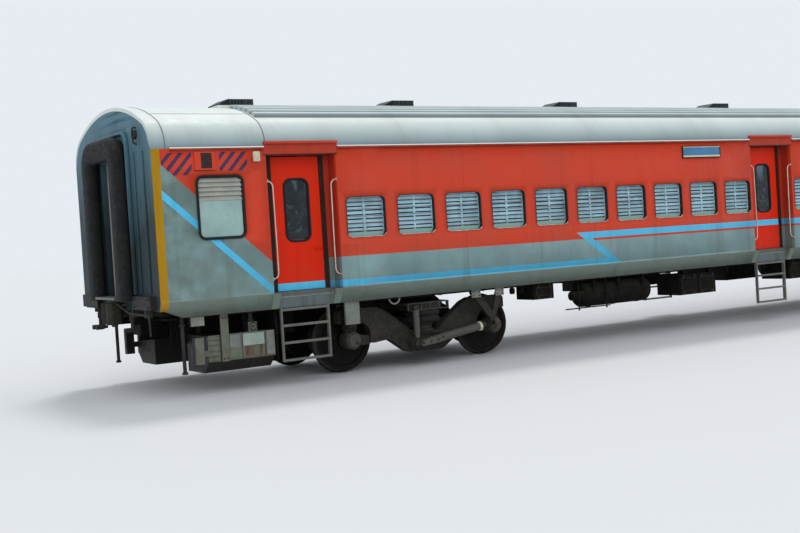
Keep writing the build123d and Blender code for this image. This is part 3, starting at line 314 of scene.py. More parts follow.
def hoop(piece, half, top, foot, corner, x, section, steps=8):
    """Adds a run over a doorway: point + a * outward + b * X, along two legs and two quarter circles."""
    angle = np.linspace(0, np.pi / 2, steps + 1)
    arc = np.column_stack([np.cos(angle), np.sin(angle)])
    quarter = (half - corner, top - corner) + corner * arc
    line = np.vstack([[(half, foot)], quarter, quarter[::-1] * (-1, 1), [(-half, foot)]])
    outward = np.vstack([[(1, 0)], arc, arc[::-1] * (-1, 1), [(-1, 0)]])
    spot = line[:, None] + section[None, :, :1] * outward[:, None]
    piece.grid(np.dstack([np.broadcast_to(x + section[:, 1], spot.shape[:2]), spot]), ends=True)


# %% [markdown]
# ## Finishes from nodes
# A finish starts as an even colour and gets its life from noise: dust that
# gathers low down, streaks that run with the rain, wear and small dents. Some
# finishes also carry painted shade and painted highlights. All patterns read
# Object coordinates, which on this coach are plain metres. The output of a
# node is wrapped as a `Value`, so a pattern reads like a formula.
# Colours are written as the eye reads them on a screen, from 0 to 255.

# %% Short names for nodes


def srgb(red, green, blue):
    """A colour from the screen, 0 to 255, as the linear light that a shader takes."""
    value = np.array((red, green, blue)) / 255
    linear = np.where(value <= 0.04045, value / 12.92, ((value + 0.055) / 1.055) ** 2.4)
    return (*linear.tolist(), 1.0)


class Value:
    """A node's output. Sums and comparisons of it are new nodes, and & is 1 where both sides are 1."""

    def __init__(self, finish, socket):
        self.finish, self.socket = finish, socket

    def maths(self, operation, *others):
        """The result of an operation on this value and others, which may be plain numbers."""
        return self.finish.node("Math", dict(enumerate((self, *others))), operation=operation)

    def span(self, low, high, start=0.0, stop=1.0):
        """The range low to high turned into start to stop, and held at its ends."""
        inputs = {"Value": self, "From Min": low, "From Max": high, "To Min": start, "To Max": stop}
        return self.finish.node("MapRange", inputs, clamp=True)

    def within(self, low, high):
        """1 where the value lies between low and high, and 0 elsewhere."""
        return (self > low) & (self < high)


OPERATIONS = {"add": "ADD", "sub": "SUBTRACT", "mul": "MULTIPLY", "truediv": "DIVIDE", "mod": "MODULO"}
OPERATIONS |= {"gt": "GREATER_THAN", "lt": "LESS_THAN", "and": "MULTIPLY", "abs": "ABSOLUTE"}
for sign, operation in OPERATIONS.items():
    setattr(Value, f"__{sign}__", partialmethod(Value.maths, operation))


class Finish:
    """A material and its nodes, with a slot name kept beside them."""

    def __init__(self, name, slot, roughness, shine=0.5, metallic=0.0):
        self.slot = slot
        self.material = bpy.data.materials.new(name)
        self.material.use_nodes = True
        self.tree = self.material.node_tree
        self.shader = self.tree.nodes["Principled BSDF"].inputs
        self.shader["Roughness"].default_value = roughness
        self.shader["Metallic"].default_value = metallic
        self.shader["Specular IOR Level"].default_value = shine
        self.place = self.node("TexCoord", {}, "Object")

    def link(self, socket, value):
        """Gives a socket another node's output, or a plain value."""
        if isinstance(value, Value):
            self.tree.links.new(value.socket, socket)
        else:
            socket.default_value = srgb(*value) if socket.type == "RGBA" else value

    def node(self, kind, inputs, output=0, **settings):
        """The output of a new node with its settings and its inputs."""
        node = self.tree.nodes.new("ShaderNode" + kind)
        for setting, value in settings.items():
            setattr(node, setting, value)
        for key, value in inputs.items():
            self.link(node.inputs[key], value)
        return Value(self, node.outputs[output])

    def axes(self, vector=None):
        """X, Y and Z of the point that is being shaded, or of another vector."""
        return [self.node("SeparateXYZ", {0: vector or self.place}, axis) for axis in range(3)]

    def facing(self):
        """X, Y and Z of the surface's own direction."""
        return self.axes(self.node("NewGeometry", {}, "Normal"))

    def noise(self, scale, stretch=(1, 1, 1), detail=4.0, roughness=0.55):
        """A cloudy value from 0 to 1. A stretch under 1 draws the clouds out along that axis."""
        mapped = self.node("Mapping", {"Vector": self.place, "Scale": stretch})
        inputs = {"Vector": mapped, "Scale": scale, "Detail": detail, "Roughness": roughness}
        return self.node("TexNoise", inputs, "Fac")

    def clouds(self, scale, low=0.35, high=0.7, **noise):
        """Noise whose range low to high becomes 0 to 1, for patches with soft edges."""
        return self.noise(scale, **noise).span(low, high)

    def mix(self, share, a, b, blend="MIX"):
        """Colour a where share is 0, and b where it is 1. To MULTIPLY them darkens a instead."""
        return self.node("Mix", {0: share, 6: a, 7: b}, 2, data_type="RGBA", blend_type=blend)

    def done(self, colour, rough=None, dents=None):
        """Links the colour, the roughness and the dents: (height, distance, strength)."""
        self.link(self.shader["Base Color"], colour)
        if rough:
            self.link(self.shader["Roughness"], rough)
        if dents:
            bump = self.node("Bump", dict(zip(("Height", "Distance", "Strength"), dents)))
            self.link(self.shader["Normal"], bump)
        return self


def dress(finish, *names):
    """Gives a finish to structural parts that keep their own shape."""
    for name in names:
        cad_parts[name].data.materials[0] = finish.material


# %% [markdown]
# ## The livery
# The whole pattern is a function of two numbers: u, the distance along the
# side as someone who faces it reads it from left to right, and the height.
# On the left side u runs the other way, so it is X times the sign of -Y.
# Straight stripes are ranges of height. The slanted ones are ranges of a sum
# of height and distance, so a whole side needs no picture.

# %% Colours of the coach
RED, DARK_RED, DOOR_RED = (206, 62, 36), (192, 66, 44), (218, 36, 2)
GREY, DARK_GREY, SKIRT_GREY = (134, 166, 167), (121, 151, 152), (112, 129, 121)
SKY_BLUE, YELLOW, PURPLE = (82, 190, 230), (178, 132, 2), (72, 50, 84)
DUST, UNDER_DUST, GRIME, RUST = (120, 108, 88), (84, 81, 72), (44, 36, 28), (112, 66, 34)
SPLIT_LEFT, SPLIT_RIGHT = 1.73, 1.70
UPPER_STRIPE, LOWER_STRIPE = (1.737, 1.84), (1.308, 1.40)
Z_TOP_X, Z_FOOT_X, Z_BAND = -4.713, -3.953, 0.12
YELLOW_END = 0.115
GREY_EDGE, BLUE_BAND = (0.902, 0.14, 3.07), (0.905, 0.13, 2.655)
STRIPE_PITCH, STRIPE_WIDTH, STRIPE_SLOPE = 0.15, 0.066, 1.12


def livery(paint):
    """The painted pattern of the sides as one colour output."""
    x, y, z = paint.axes()
    u = x * (y.maths("SIGN") * -1.0)
    from_end = abs(u) * -1.0 + BODY_END

    def over(slope, start, height):
        """Height above a line that goes down from a height at a distance from the end."""
        return from_end * slope + (z - (height + slope * start))

    red = paint.mix(paint.clouds(0.9, detail=5), RED, DARK_RED)
    grey = paint.mix(paint.clouds(1.6), GREY, DARK_GREY)
    end_dirt = from_end.span(0.3, 3.0, 0.8, 0.0) & paint.clouds(2.4, 0.3, 0.6, detail=7)
    grey = paint.mix(end_dirt, grey, (92, 108, 100))

    split = (u > Z_TOP_X + 0.28) * (SPLIT_RIGHT - SPLIT_LEFT) + SPLIT_LEFT
    colour = paint.mix(z < split, red, grey)
    drop = (UPPER_STRIPE[1] - LOWER_STRIPE[0]) / (Z_FOOT_X - Z_TOP_X)
    slanted = u * drop + (z - (UPPER_STRIPE[1] + drop * Z_TOP_X))
    diagonal = slanted.within(0.0, Z_BAND) & z.within(LOWER_STRIPE[0], UPPER_STRIPE[1])
    upper = z.within(*UPPER_STRIPE) & (slanted > 0.0)
    lower = z.within(*LOWER_STRIPE) & (slanted < Z_BAND)
    for part in (diagonal, upper, lower):
        colour = paint.mix(part, colour, SKY_BLUE)

    end_colour = paint.mix(over(*GREY_EDGE) < 0.0, red, grey)
    on_band = over(*BLUE_BAND).within(-0.030, 0.086) & (z > LOWER_STRIPE[0])
    end_colour = paint.mix(on_band, end_colour, SKY_BLUE)
    stripes = (u * -STRIPE_SLOPE + z + 40.02) % (STRIPE_PITCH * STRIPE_SLOPE) < STRIPE_WIDTH * STRIPE_SLOPE
    near = from_end.within(0.13, 0.55) & z.within(2.94, 3.235)
    far = from_end.within(0.94, 1.345) & z.within(2.985, 3.24)
    end_colour = paint.mix((near + far) & stripes & (over(*GREY_EDGE) > 0.0), end_colour, PURPLE)

    colour = paint.mix(from_end < BODY_END - DOOR_XS[2] - RECESS_HALF + 0.01, colour, end_colour)
    colour = paint.mix(z < CREASE_Z + 0.006, colour, SKIRT_GREY)
    return paint.mix(from_end < YELLOW_END, colour, YELLOW)


def weathered(paint, colour, dust, low, high, streaks):
    """Dust that grows towards the ground, rain streaks and a few scuffs over a colour."""
    z = paint.axes()[2]
    clouds = paint.clouds(3.0, 0.35, 0.75, detail=8, roughness=0.65)
    colour = paint.mix(z.span(low, high, 1.0, 0.12) & clouds & dust, colour, DUST)
    rain = paint.clouds(5.0, 0.52, 0.75, stretch=(1, 1, 0.06), detail=5, roughness=0.7)
    rain = rain & streaks & z.span(low, 3.4, 1.0, 0.45)
    colour = paint.mix(rain, colour, (140, 128, 116), "MULTIPLY")
    return paint.mix(paint.clouds(38.0, 0.7, 0.78, detail=3, roughness=0.8) & 0.35, colour, GRIME)


# %% Side paint
SEAM_PITCH, SEAM_SHIFT = 2.564, 40.213
SIDE_PAINT = Finish("side_paint", "side_paint", 0.42, 0.16)
x, y, z = SIDE_PAINT.axes()
pattern = weathered(SIDE_PAINT, livery(SIDE_PAINT), 0.5, 1.0, 2.1, 0.35)
seam = ((x + SEAM_SHIFT) % SEAM_PITCH < 0.006) & (z > CREASE_Z) & 0.45
waves = SIDE_PAINT.noise(160.0) * 0.02 + SIDE_PAINT.noise(1.4, stretch=(1, 1, 0.6), detail=2)
gloss = SIDE_PAINT.noise(7.0).span(0.3, 0.7, 0.32, 0.55)
SIDE_PAINT.done(SIDE_PAINT.mix(seam, pattern, GRIME, "MULTIPLY"), gloss, (waves, 0.02, 0.25))

# %% [markdown]
# The other finishes are shorter. A function makes each dusty paint from two
# colours, so that every piece under the floor can have its own mix of dust
# and rust while the code stays in one place.

# %% Dusty paints
GEAR, BLACK, STEEL = "running_gear_paint", "black_paint", "grey_steel"


def dusty(name, slot, base, other, roughness, dust, rust, top_dust, grain=60.0, shine=0.25):
    """Paint whose upward faces hold dust, with rust in patches that follow the streaks."""
    paint = Finish(name, slot, roughness, shine)
    colour = paint.mix(paint.clouds(4.0, detail=6, roughness=0.65), base, other)
    if rust:
        patch = paint.clouds(9.0, 0.56, 0.72, stretch=(1, 1, 0.25), detail=7, roughness=0.7)
        colour = paint.mix(patch & rust, colour, RUST)
    up = paint.facing()[2].span(0.2, 0.9)
    fine = paint.clouds(14.0, 0.45, 0.7, detail=8, roughness=0.7)
    colour = paint.mix(fine & dust, paint.mix(up & top_dust, colour, UNDER_DUST), UNDER_DUST)
    rough = paint.noise(20.0).span(0.3, 0.7, roughness - 0.12, min(roughness + 0.15, 1.0))
    return paint.done(colour, rough, (paint.noise(grain, detail=4), 0.0015, 0.35))


BLACK_PAINT = dusty("black_paint", BLACK, (25, 25, 25), (36, 35, 33), 0.6, 0.12, 0, 0.25)
# The underfloor paint is near black: black paint, darkened further as painted shade under the coach.
UNDERFLOOR_SHADE_PAINT = dusty("underfloor_black_and_shade", GEAR, (14, 14, 13), (22, 21, 19), 0.7, 0.1, 0.1, 0.25, shine=0.08)
GEAR_PAINT = dusty("running_gear_paint", GEAR, (38, 38, 35), (54, 52, 47), 0.65, 0.26, 0.06, 0.45, shine=0.12)
DAMPER_GREY = dusty("damper_grey", GEAR, (70, 72, 67), (84, 83, 76), 0.5, 0.25, 0.08, 0.4)
BOX_GREY = dusty("axlebox_grey", GEAR, (78, 78, 72), (58, 56, 50), 0.6, 0.4, 0.25, 0.5)
SPRING_PAINT = dusty("spring_paint", GEAR, (40, 38, 34), (60, 52, 44), 0.6, 0.35, 0.3, 0.4)
PLATE_PAINT = dusty("pale_plate", STEEL, (132, 137, 128), (104, 108, 100), 0.5, 0.25, 0.3, 0.3)
BRIGHT_PLATE = dusty("repair_plate", STEEL, (156, 172, 160), (130, 146, 136), 0.45, 0.15, 0.35, 0.2)
STEP_PAINT = dusty("step_paint", STEEL, (108, 111, 105), (90, 92, 86), 0.5, 0.2, 0.25, 0.3)
RUBBER = dusty("black_rubber", "black_rubber", (20, 21, 22), (29, 29, 29), 0.75, 0.1, 0, 0.2, grain=140.0)
SEAL_PAINT = dusty("door_frame_black", "black_rubber", (34, 22, 19), (50, 30, 25), 0.6, 0.12, 0, 0.2,
                   shine=0.15)
LAMP_CREAM = dusty("lamp_cream", "cream_plastic", (206, 202, 178), (190, 184, 158), 0.4, 0.1, 0, 0.15)
BOARD_PAINT = dusty("board_paint", "board_paint", (70, 128, 168), (56, 112, 154), 0.45, 0.1, 0, 0.1)
INNER_LINING = dusty("inner_lining", "inner_lining", (186, 184, 170), (172, 170, 156), 0.35, 0.05, 0, 0.05)
FLOOR_PAINT = dusty("floor_covering", "inner_lining", (96, 98, 96), (80, 80, 78), 0.6, 0.2, 0, 0.2)
# Near black for the insides of openings and behind grilles: painted shade where no light gets in.
INSIDE_SHADE = dusty("inside_shade", BLACK, (24, 28, 31), (34, 38, 40), 0.6, 0.1, 0, 0.1)
SLAT_GREY = dusty("slat_grey", "stainless", (172, 174, 164), (148, 151, 142), 0.5, 0.15, 0.05, 0.2)
BAR_BROWN = dusty("window_bar_paint", "stainless", (132, 96, 96), (108, 76, 74), 0.5, 0.1, 0.1, 0.1)
VENT_BLACK = dusty("vent_black", BLACK, (14, 17, 18), (24, 28, 29), 0.5, 0.06, 0, 0.08)
VENT_GREY = dusty("vent_grey", BLACK, (84, 92, 94), (66, 73, 76), 0.5, 0.15, 0, 0.3)
INLET_RED = dusty("inlet_slat_paint", BLACK, (92, 38, 32), (70, 30, 27), 0.5, 0.1, 0, 0.2)
SEAM_GREY = dusty("seam_shadow", "roof_paint", (112, 116, 113), (90, 92, 89), 0.6, 0.2, 0, 0.1)

# %% Tanks, shutters and ends: paint that knows its place
paint = Finish("tank_paint", STEEL, 0.55, 0.25)
x, y, z = paint.axes()
front = paint.mix(paint.clouds(5.0, detail=7, roughness=0.7), (106, 111, 98), (82, 85, 75))
rust = paint.clouds(6.0, 0.5, 0.66, stretch=(1, 1, 0.12), detail=7, roughness=0.75)
front = paint.mix(rust & (z < 0.61) & 0.6, front, (96, 66, 40))
drips = paint.clouds(16.0, 0.42, 0.58, stretch=(1, 1, 0.12), detail=6, roughness=0.7)
under_repair = abs(x).within(10.27, 10.53) & z.within(0.47, 0.607)
front = paint.mix(under_repair & drips & 0.85, front, (84, 56, 34))
# Painted shade: every face but the upright front, and the front below 0.425 m, is near black.
lit_front_faces = (paint.facing()[1] * y > 1.15) & (z > 0.425)
front = paint.mix(lit_front_faces, (30, 28, 25), front)
rough = paint.noise(12.0).span(0.3, 0.7, 0.45, 0.7)
TANK_PAINT = paint.done(front, rough, (paint.noise(40.0, detail=4), 0.002, 0.35))

paint = Finish("shutter_paint", "shutter_paint", 0.5, 0.2)
x, y, z = paint.axes()
along = (abs(x) + (WINDOW_PITCH / 2 - WINDOW_GAP)) % WINDOW_PITCH - WINDOW_PITCH / 2
share = ((z - 2.063) / (0.489 / 8)).maths("FRACT")
# Painted shade: dark bands between the slats, where they shade each other.
slat_gap_shade = ((share < 0.2) + (share > 0.93)) & abs(along).within(0.018, 0.307) & z.within(2.063, 2.552)
dirt = paint.clouds(2.2, 0.4, 0.72, detail=7, roughness=0.65)
slat = paint.mix(dirt, (172, 212, 226), (124, 152, 160))
slat = paint.mix(z < 2.06, slat, (142, 178, 168))
SHUTTER_PAINT = paint.done(paint.mix(slat_gap_shade, slat, (48, 56, 62)), dents=(paint.noise(50.0), 0.001, 0.3))

paint = Finish("end_paint", "end_paint", 0.55, 0.15)
x, y, z = paint.axes()
# Painted shade: the end wall is dark low down and blue-grey high up, as in the shade of the next coach, with
# noise along the edge of the shade.
shade_edge_noise = paint.noise(1.8, stretch=(1, 1, 0.3), detail=8, roughness=0.65).span(0.3, 0.7, -0.5, 0.5)
colour = paint.mix((z + shade_edge_noise).span(2.3, 3.8), (42, 56, 60), (84, 120, 134))
scuffs = paint.clouds(26.0, 0.62, 0.7, detail=6, roughness=0.8) & 0.5
dents = (paint.noise(40.0, detail=4), 0.0015, 0.3)
END_PAINT = paint.done(paint.mix(scuffs, colour, (24, 28, 29)), dents=dents)

paint = Finish("window_lip_paint", "stainless", 0.4, 0.3)
x, y, z = paint.axes()
worn = paint.mix(paint.clouds(14.0, 0.4, 0.6, detail=5), (206, 204, 196), (150, 146, 138))
# Painted shade: the silver lip shows only along the bottom of each window, and above that it is painted dark
# brown.
LIP_PAINT = paint.done(paint.mix(z > 2.035, worn, (60, 34, 28)))

paint = Finish("gutter_paint", "roof_paint", 0.45, 0.2)
x, y, z = paint.axes()
side = paint.mix(paint.clouds(5.0, detail=6), (158, 66, 50), (120, 54, 42))
# Painted light: the gutter's red side is darker than the body red as painted shade, and its top and upward
# faces are pale as a painted highlight.
side = paint.mix(z > SIDE_TOP + 0.001, side, (226, 228, 220))
GUTTER_PAINT = paint.done(paint.mix(paint.facing()[2].span(0.1, 0.7), side, (226, 228, 220)))

# %% Metal, glass and the roof
paint = Finish("rail_stainless", "stainless", 0.32, metallic=1.0)
colour = paint.mix(paint.clouds(6.0, 0.3, 0.7, detail=6), (214, 190, 178), (182.51, 161.82, 151.48))
scratches = paint.noise(90.0, stretch=(1, 1, 0.05), detail=3)
RAIL_STEEL = paint.done(colour, scratches.span(0.3, 0.7, 0.22, 0.47), (scratches, 0.0006, 0.3))

paint = Finish("wheel_steel", "wheel_steel", 0.6, 0.12)
x, y, z = paint.axes()
reach = abs(abs(x) - BOGIE_X) - AXLE_X
drop = z - AXLE_Z
radius = (reach * reach + drop * drop).maths("SQRT")
# The web is near black: dark steel, darkened further as painted shade under the coach.
web = paint.mix(paint.clouds(7.0, detail=6), (14, 13, 12), (24, 22, 19))
web = paint.mix(paint.clouds(18.0, 0.5, 0.7, detail=7) & 0.2, web, (70, 50, 36))
tread = (radius > 0.4565) & (abs(y) > 0.83)
dents = (paint.noise(50.0, detail=4), 0.0015, 0.35)
WHEEL_STEEL = paint.done(paint.mix(tread, web, (74, 70, 65)), tread * -0.3 + 0.66, dents)

paint = Finish("roof_paint", "roof_paint", 0.5, 0.3)
x, y, z = paint.axes()
# Partly grime and partly painted shade and highlight: the arch is dark on its low shoulders, paler higher up
# and palest over the top.
shaded_roof = paint.mix(z.span(3.30, 3.52), (122, 143, 148), (188, 200, 197))
shaded_roof = paint.mix(z.span(3.52, 3.78), shaded_roof, (219, 226, 220))
on_deck = (z > 3.5) & (abs(x) < 10.1)
ribbed = on_deck & (abs(y) < 1.27)
shaded_roof = paint.mix(ribbed, shaded_roof, (182, 195, 194))
from_rib = abs((y / 0.15 + 0.5).maths("FRACT") - 0.5) * 0.15
# Painted shade: dark in the troughs between the ribs and along the step at the deck's edge.
shaded_roof = paint.mix(ribbed & from_rib.span(0.046, 0.060) & 0.8, shaded_roof, (92, 106, 104))
shaded_roof = paint.mix(on_deck & abs(y).within(1.262, 1.286) & 0.75, shaded_roof, (70, 82, 80))
shaded_roof = paint.mix(paint.clouds(0.8, detail=6) & 0.35, shaded_roof, (206, 206, 200), "MULTIPLY")
rain = paint.clouds(4.0, 0.5, 0.78, stretch=(1, 0.08, 0.08), detail=6, roughness=0.7) & 0.16
shaded_roof = paint.mix(rain, shaded_roof, (150, 148, 140), "MULTIPLY")
shaded_roof = paint.mix(paint.clouds(22.0, 0.66, 0.8, detail=5, roughness=0.75) & 0.25, shaded_roof, (96, 92, 84))
rough = paint.noise(9.0).span(0.3, 0.7, 0.42, 0.62)
ROOF_PAINT = paint.done(shaded_roof, rough, (paint.noise(2.2, detail=3), 0.02, 0.2))

paint = Finish("dusty_glass", "window_glass", 0.12, 0.32)
x, y, z = paint.axes()
colour = paint.mix(paint.clouds(5.0, 0.42, 0.8, detail=8, roughness=0.7) & 0.3, (14, 20, 27), (84, 96, 106))
# Painted reflection: a paler sheen over the upper part of the pane.
sheen = paint.clouds(6.0, 0.48, 0.6, stretch=(1, 1, 0.22), detail=3) & z.span(2.45, 2.78) & 0.6
colour = paint.mix(sheen, colour, (104, 124, 136))
smears = paint.clouds(17.0, 0.56, 0.66, detail=6, roughness=0.7) & z.within(2.1, 2.5) & 0.4
colour = paint.mix(smears, colour, (118, 128, 138))
rough = paint.noise(6.0, detail=6).span(0.35, 0.75, 0.08, 0.35)
# Painted highlight: the pane's bottom edge is pale.
DOOR_GLASS = paint.done(paint.mix(z < 2.012, colour, (104, 116, 124)), rough)

paint = Finish("frosted_glass", "window_glass", 0.32)
colour = paint.mix(paint.clouds(3.0, 0.35, 0.75, detail=8, roughness=0.7), (150, 182, 176), (124, 152, 148))
FROSTED_GLASS = paint.done(colour, dents=(paint.noise(220.0, detail=2), 0.0006, 0.3))
print(len(bpy.data.materials), "materials so far")

# %% [markdown]
# ## Side sheets
# The wall panels are there already, so what is added is the painted sheet
# over them, 2 mm thick, with each window's corners truly round. Around one
# window the sheet is a grid between two loops with the same number of points:
# the opening, and the rectangle of wall round it.

# %% Side sheets
SHEET = 0.002
SHEET_Y = -(SIDE_Y + SHEET)
CREASE_SOFT = 0.03
SKIRT_KNOTS, SKIRT_RISE = np.array((0.08, 0.35)), 1.18
EDGES = [-BODY_END] + [mid + end * RECESS_HALF for mid in DOOR_XS for end in (-1, 1)] + [BODY_END]
LAVATORY_X, LAVATORY_Z, LAVATORY_SIZE = 10.84, 2.505, (0.68, 0.85, 0.10)


def skirt_foot(x):
    """Height of the skirt's lower edge, which rises towards both ends of the body."""
    return np.interp(BODY_END - np.abs(x), [0.0, *SKIRT_KNOTS], [SKIRT_RISE, SKIRT_RISE, SKIRT_Z])


def wall_patch(piece, x0, x1, z0, z1, opening=None):
    """A stretch of flat wall, plain or with one opening of (x, z, width, height, radius)."""
    if opening is None:
        corners = np.array([[(x, SHEET_Y, z) for z in (z0, z1)] for x in (x0, x1)])
        piece.grid(corners, close_cols=False)
        return
    hole = rounded_loop(*opening[2:]) + opening[:2]
    rim = rounded_loop(x1 - x0, z1 - z0, 0.0) + ((x0 + x1) / 2, (z0 + z1) / 2)
    layers(piece, [(hole, SHEET_Y), (rim, SHEET_Y)])


side_sheets = Piece()
for low, high in zip(EDGES[::2], EDGES[1::2]):
    openings = [(x, WINDOW_Z, *WINDOW_SIZE) for x in sorted(WINDOW_XS)]
    openings += [(x, LAVATORY_Z, *LAVATORY_SIZE) for x in (-LAVATORY_X, LAVATORY_X)]
    openings = [opening for opening in openings if low < opening[0] < high]
    edges = [low] + [(a[0] + b[0]) / 2 for a, b in zip(openings, openings[1:])] + [high]
    middle, half = openings[0][1], openings[0][3] / 2 + 0.1
    for x0, x1, opening in zip(edges, edges[1:], openings):
        wall_patch(side_sheets, x0, x1, middle - half, middle + half, opening)
        wall_patch(side_sheets, x0, x1, middle + half, SIDE_TOP)
        wall_patch(side_sheets, x0, x1, CREASE_Z + CREASE_SOFT, middle - half)
    x = np.concatenate([np.linspace(low, high, 9), SKIRT_KNOTS - BODY_END, BODY_END - SKIRT_KNOTS])
    x = np.unique(x[(x >= low) & (x <= high)])
    t = np.linspace(0, 1, 7)[:, None]
    lean = (SIDE_Y - SKIRT_Y) / (CREASE_Z - SKIRT_Z)
    weights = np.hstack([(1 - t) ** 2, 2 * t * (1 - t), t**2])
    y_rows = weights @ (SHEET_Y, SHEET_Y, SHEET_Y + lean * CREASE_SOFT)
    z_rows = weights @ (CREASE_Z + CREASE_SOFT, CREASE_Z, CREASE_Z - CREASE_SOFT)
    foot = skirt_foot(x)
    y_rows = np.vstack([np.repeat(y_rows[:, None], len(x), 1), SHEET_Y + lean * (CREASE_Z - foot)])
    z_rows = np.vstack([np.repeat(z_rows[:, None], len(x), 1), foot])
    side_sheets.grid(np.dstack([np.repeat(x[None], len(y_rows), 0), y_rows, z_rows]), close_cols=False)
side_skin = side_sheets.build("side_sheets", SIDE_PAINT, smooth=25)
thicken = side_skin.modifiers.new("thickness", "SOLIDIFY")
thicken.thickness, thicken.offset = SHEET, -1.0
dress(SIDE_PAINT, "side_panels_right", "side_panels_left", "side_skirts", "side_vents")

# %% [markdown]
# ## Windows
# Behind each opening a metal sleeve, dark as painted shade, leads to a louvred
# shutter in two columns, with thin safety bars in front and a dark sheet behind
# as painted shade of the coach's inside. The sleeve is a ring: four or five
# points of profile carried round the outline.

# %% Window sleeves
SHUTTER_Y = -(SIDE_Y - WALL)
AT_WINDOWS = at(*WINDOW_XS)
sleeves, lips = Piece(), Piece()
sleeve = [(0.0, SHEET_Y + 0.004), (-0.005, SHEET_Y + 0.004)]
sleeve += [(-0.005, SHUTTER_Y - 0.001), (0.0, SHUTTER_Y - 0.001)]
wall_ring(sleeves, WINDOW_Z, WINDOW_SIZE, sleeve)
lip = np.array([(0.0005, 0.002), (0.0005, -0.003), (-0.003, -0.005), (-0.008, -0.003), (-0.008, 0.003)])
wall_ring(lips, WINDOW_Z, WINDOW_SIZE, lip + (0, SHEET_Y))
sleeves.build("window_sleeves", INSIDE_SHADE, AT_WINDOWS, slot="shutter_paint")
lips.build("window_lips", LIP_PAINT, AT_WINDOWS)

# %% Shutters and bars
SLATS, COLUMN_HALF, FRAME_WIDTH = 8, 0.018, 0.03
SLAT = [(0.0, 0.006), (-0.004, 0.012), (0.016, 0.060), (0.022, 0.060), (0.022, 0.052), (0.006, 0.006)]
shutters, bars, backs = Piece(), Piece(), Piece()
half_width, half_height = WINDOW_SIZE[0] / 2 + 0.012, WINDOW_SIZE[1] / 2 + 0.012
inner, back = half_width - FRAME_WIDTH, SHUTTER_Y + 0.026
low_z, high_z = WINDOW_Z - half_height, WINDOW_Z + half_height
slat_low = low_z + 0.085
slat_pitch = (high_z - FRAME_WIDTH - slat_low) / SLATS
for side, i in itertools.product((-1, 1), range(SLATS)):
    section = np.array(SLAT) * (1, slat_pitch / 0.066) + (SHUTTER_Y + 0.004, slat_low + i * slat_pitch)
    layers(shutters, [(section, side * COLUMN_HALF), (section, side * inner)], axis=0, ends=True)
boxes(shutters, 0.003,
      (-half_width, SHUTTER_Y, low_z, -inner, back, high_z),
      (inner, SHUTTER_Y, low_z, half_width, back, high_z),
      (-COLUMN_HALF, SHUTTER_Y - 0.002, low_z, COLUMN_HALF, back, high_z),
      (-inner, SHUTTER_Y, high_z - FRAME_WIDTH, inner, back, high_z),
      (-inner, SHUTTER_Y - 0.001, low_z, inner, back, slat_low))
for z in WINDOW_Z + np.linspace(-0.2, 0.215, 5):
    tube(bars, [(x * WINDOW_SIZE[0] / 2, SHUTTER_Y - 0.026, z) for x in (-1, 0, 1)], 0.005, sides=6)
# A dark sheet behind the shutters: painted shade standing for the unlit inside of the coach.
boxes(backs, 0.003, *[(side * 0.63, -1.526, 1.96, side * 8.96, -1.520, 2.60) for side in (-1, 1)])
backs.build("shutter_backs", INSIDE_SHADE)
shutters.build("window_shutters", SHUTTER_PAINT, AT_WINDOWS, stands_for=("shutters_left", "shutters_right"))
bars.build("window_bars", BAR_BROWN, AT_WINDOWS)

# %% [markdown]
# ## Lavatory windows
# Near each corner of the body a black rubber section holds a frosted pane,
# with five fixed slats over its top third.

# %% Lavatory windows
PANE_HALF, PANE_LOW, PANE_HIGH = 0.31, 2.11, 2.90
SLAT_FOOT, SLAT_COUNT = 2.595, 5
AT_LAVATORIES = at(-LAVATORY_X, LAVATORY_X)
rings, panes, slats = Piece(), Piece(), Piece()
profile = [(0.004, 0.0), (0.004, -0.009), (-0.004, -0.014), (-0.02, -0.013), (-0.03, -0.006)]
profile = np.array(profile + [(-0.034, 0.012), (-0.034, 0.03), (0.0, 0.03)])
wall_ring(rings, LAVATORY_Z, LAVATORY_SIZE, profile + (0, SHEET_Y), steps=10)
boxes(panes, 0.003, (-PANE_HALF, 0.012 - SIDE_Y, PANE_LOW, PANE_HALF, 0.024 - SIDE_Y, SLAT_FOOT + 0.02))
pitch = (PANE_HIGH - SLAT_FOOT) / SLAT_COUNT
section = [(0.002, 0.0), (-0.012, 0.004), (-0.014, 0.012), (0.010, pitch * 0.8), (0.022, pitch * 1.05)]
for i in range(SLAT_COUNT):
    slat = np.array(section + [(0.022, 0.0)]) + (0.01 - SIDE_Y, SLAT_FOOT + i * pitch)
    layers(slats, [(slat, -PANE_HALF), (slat, PANE_HALF)], axis=0, ends=True)
rings.build("lavatory_rubbers", RUBBER, AT_LAVATORIES, stands_for=("lavatory_frames",))
panes.build("lavatory_glass", FROSTED_GLASS, AT_LAVATORIES, stands_for=("lavatory_panes",))
slats.build("lavatory_slats", SLAT_GREY, AT_LAVATORIES)

# %% [markdown]
# ## Doors
# Each leaf turns on its hinges, so its rubber, glass and handle ride on the
# leaf's own body. They are drawn once for a door at X = 0 on the right side,
# with the hinges at its right, and then mirrored, shifted and turned.

# %% Door fittings
DOOR_WINDOW_Z, DOOR_WINDOW = 2.425, (0.40, 0.89, 0.12)
GRIP_X, GRIP_Z = -0.335, 1.88
paint = Finish("door_paint", "door_paint", 0.4, 0.12)
x, y, z = paint.axes()
middle_door = abs(x) < 2.0
base = paint.mix(paint.clouds(2.0), DOOR_RED, (206, 42, 8))
blue = (z.within(*UPPER_STRIPE) & middle_door) + ((z < 1.41) & (middle_door * -1.0 + 1.0))
base = weathered(paint, paint.mix(blue, base, SKY_BLUE), 0.12, 1.3, 1.7, 0.12)
LEAF_PAINT = paint.done(base, dents=(paint.noise(1.8, detail=2), 0.015, 0.25))

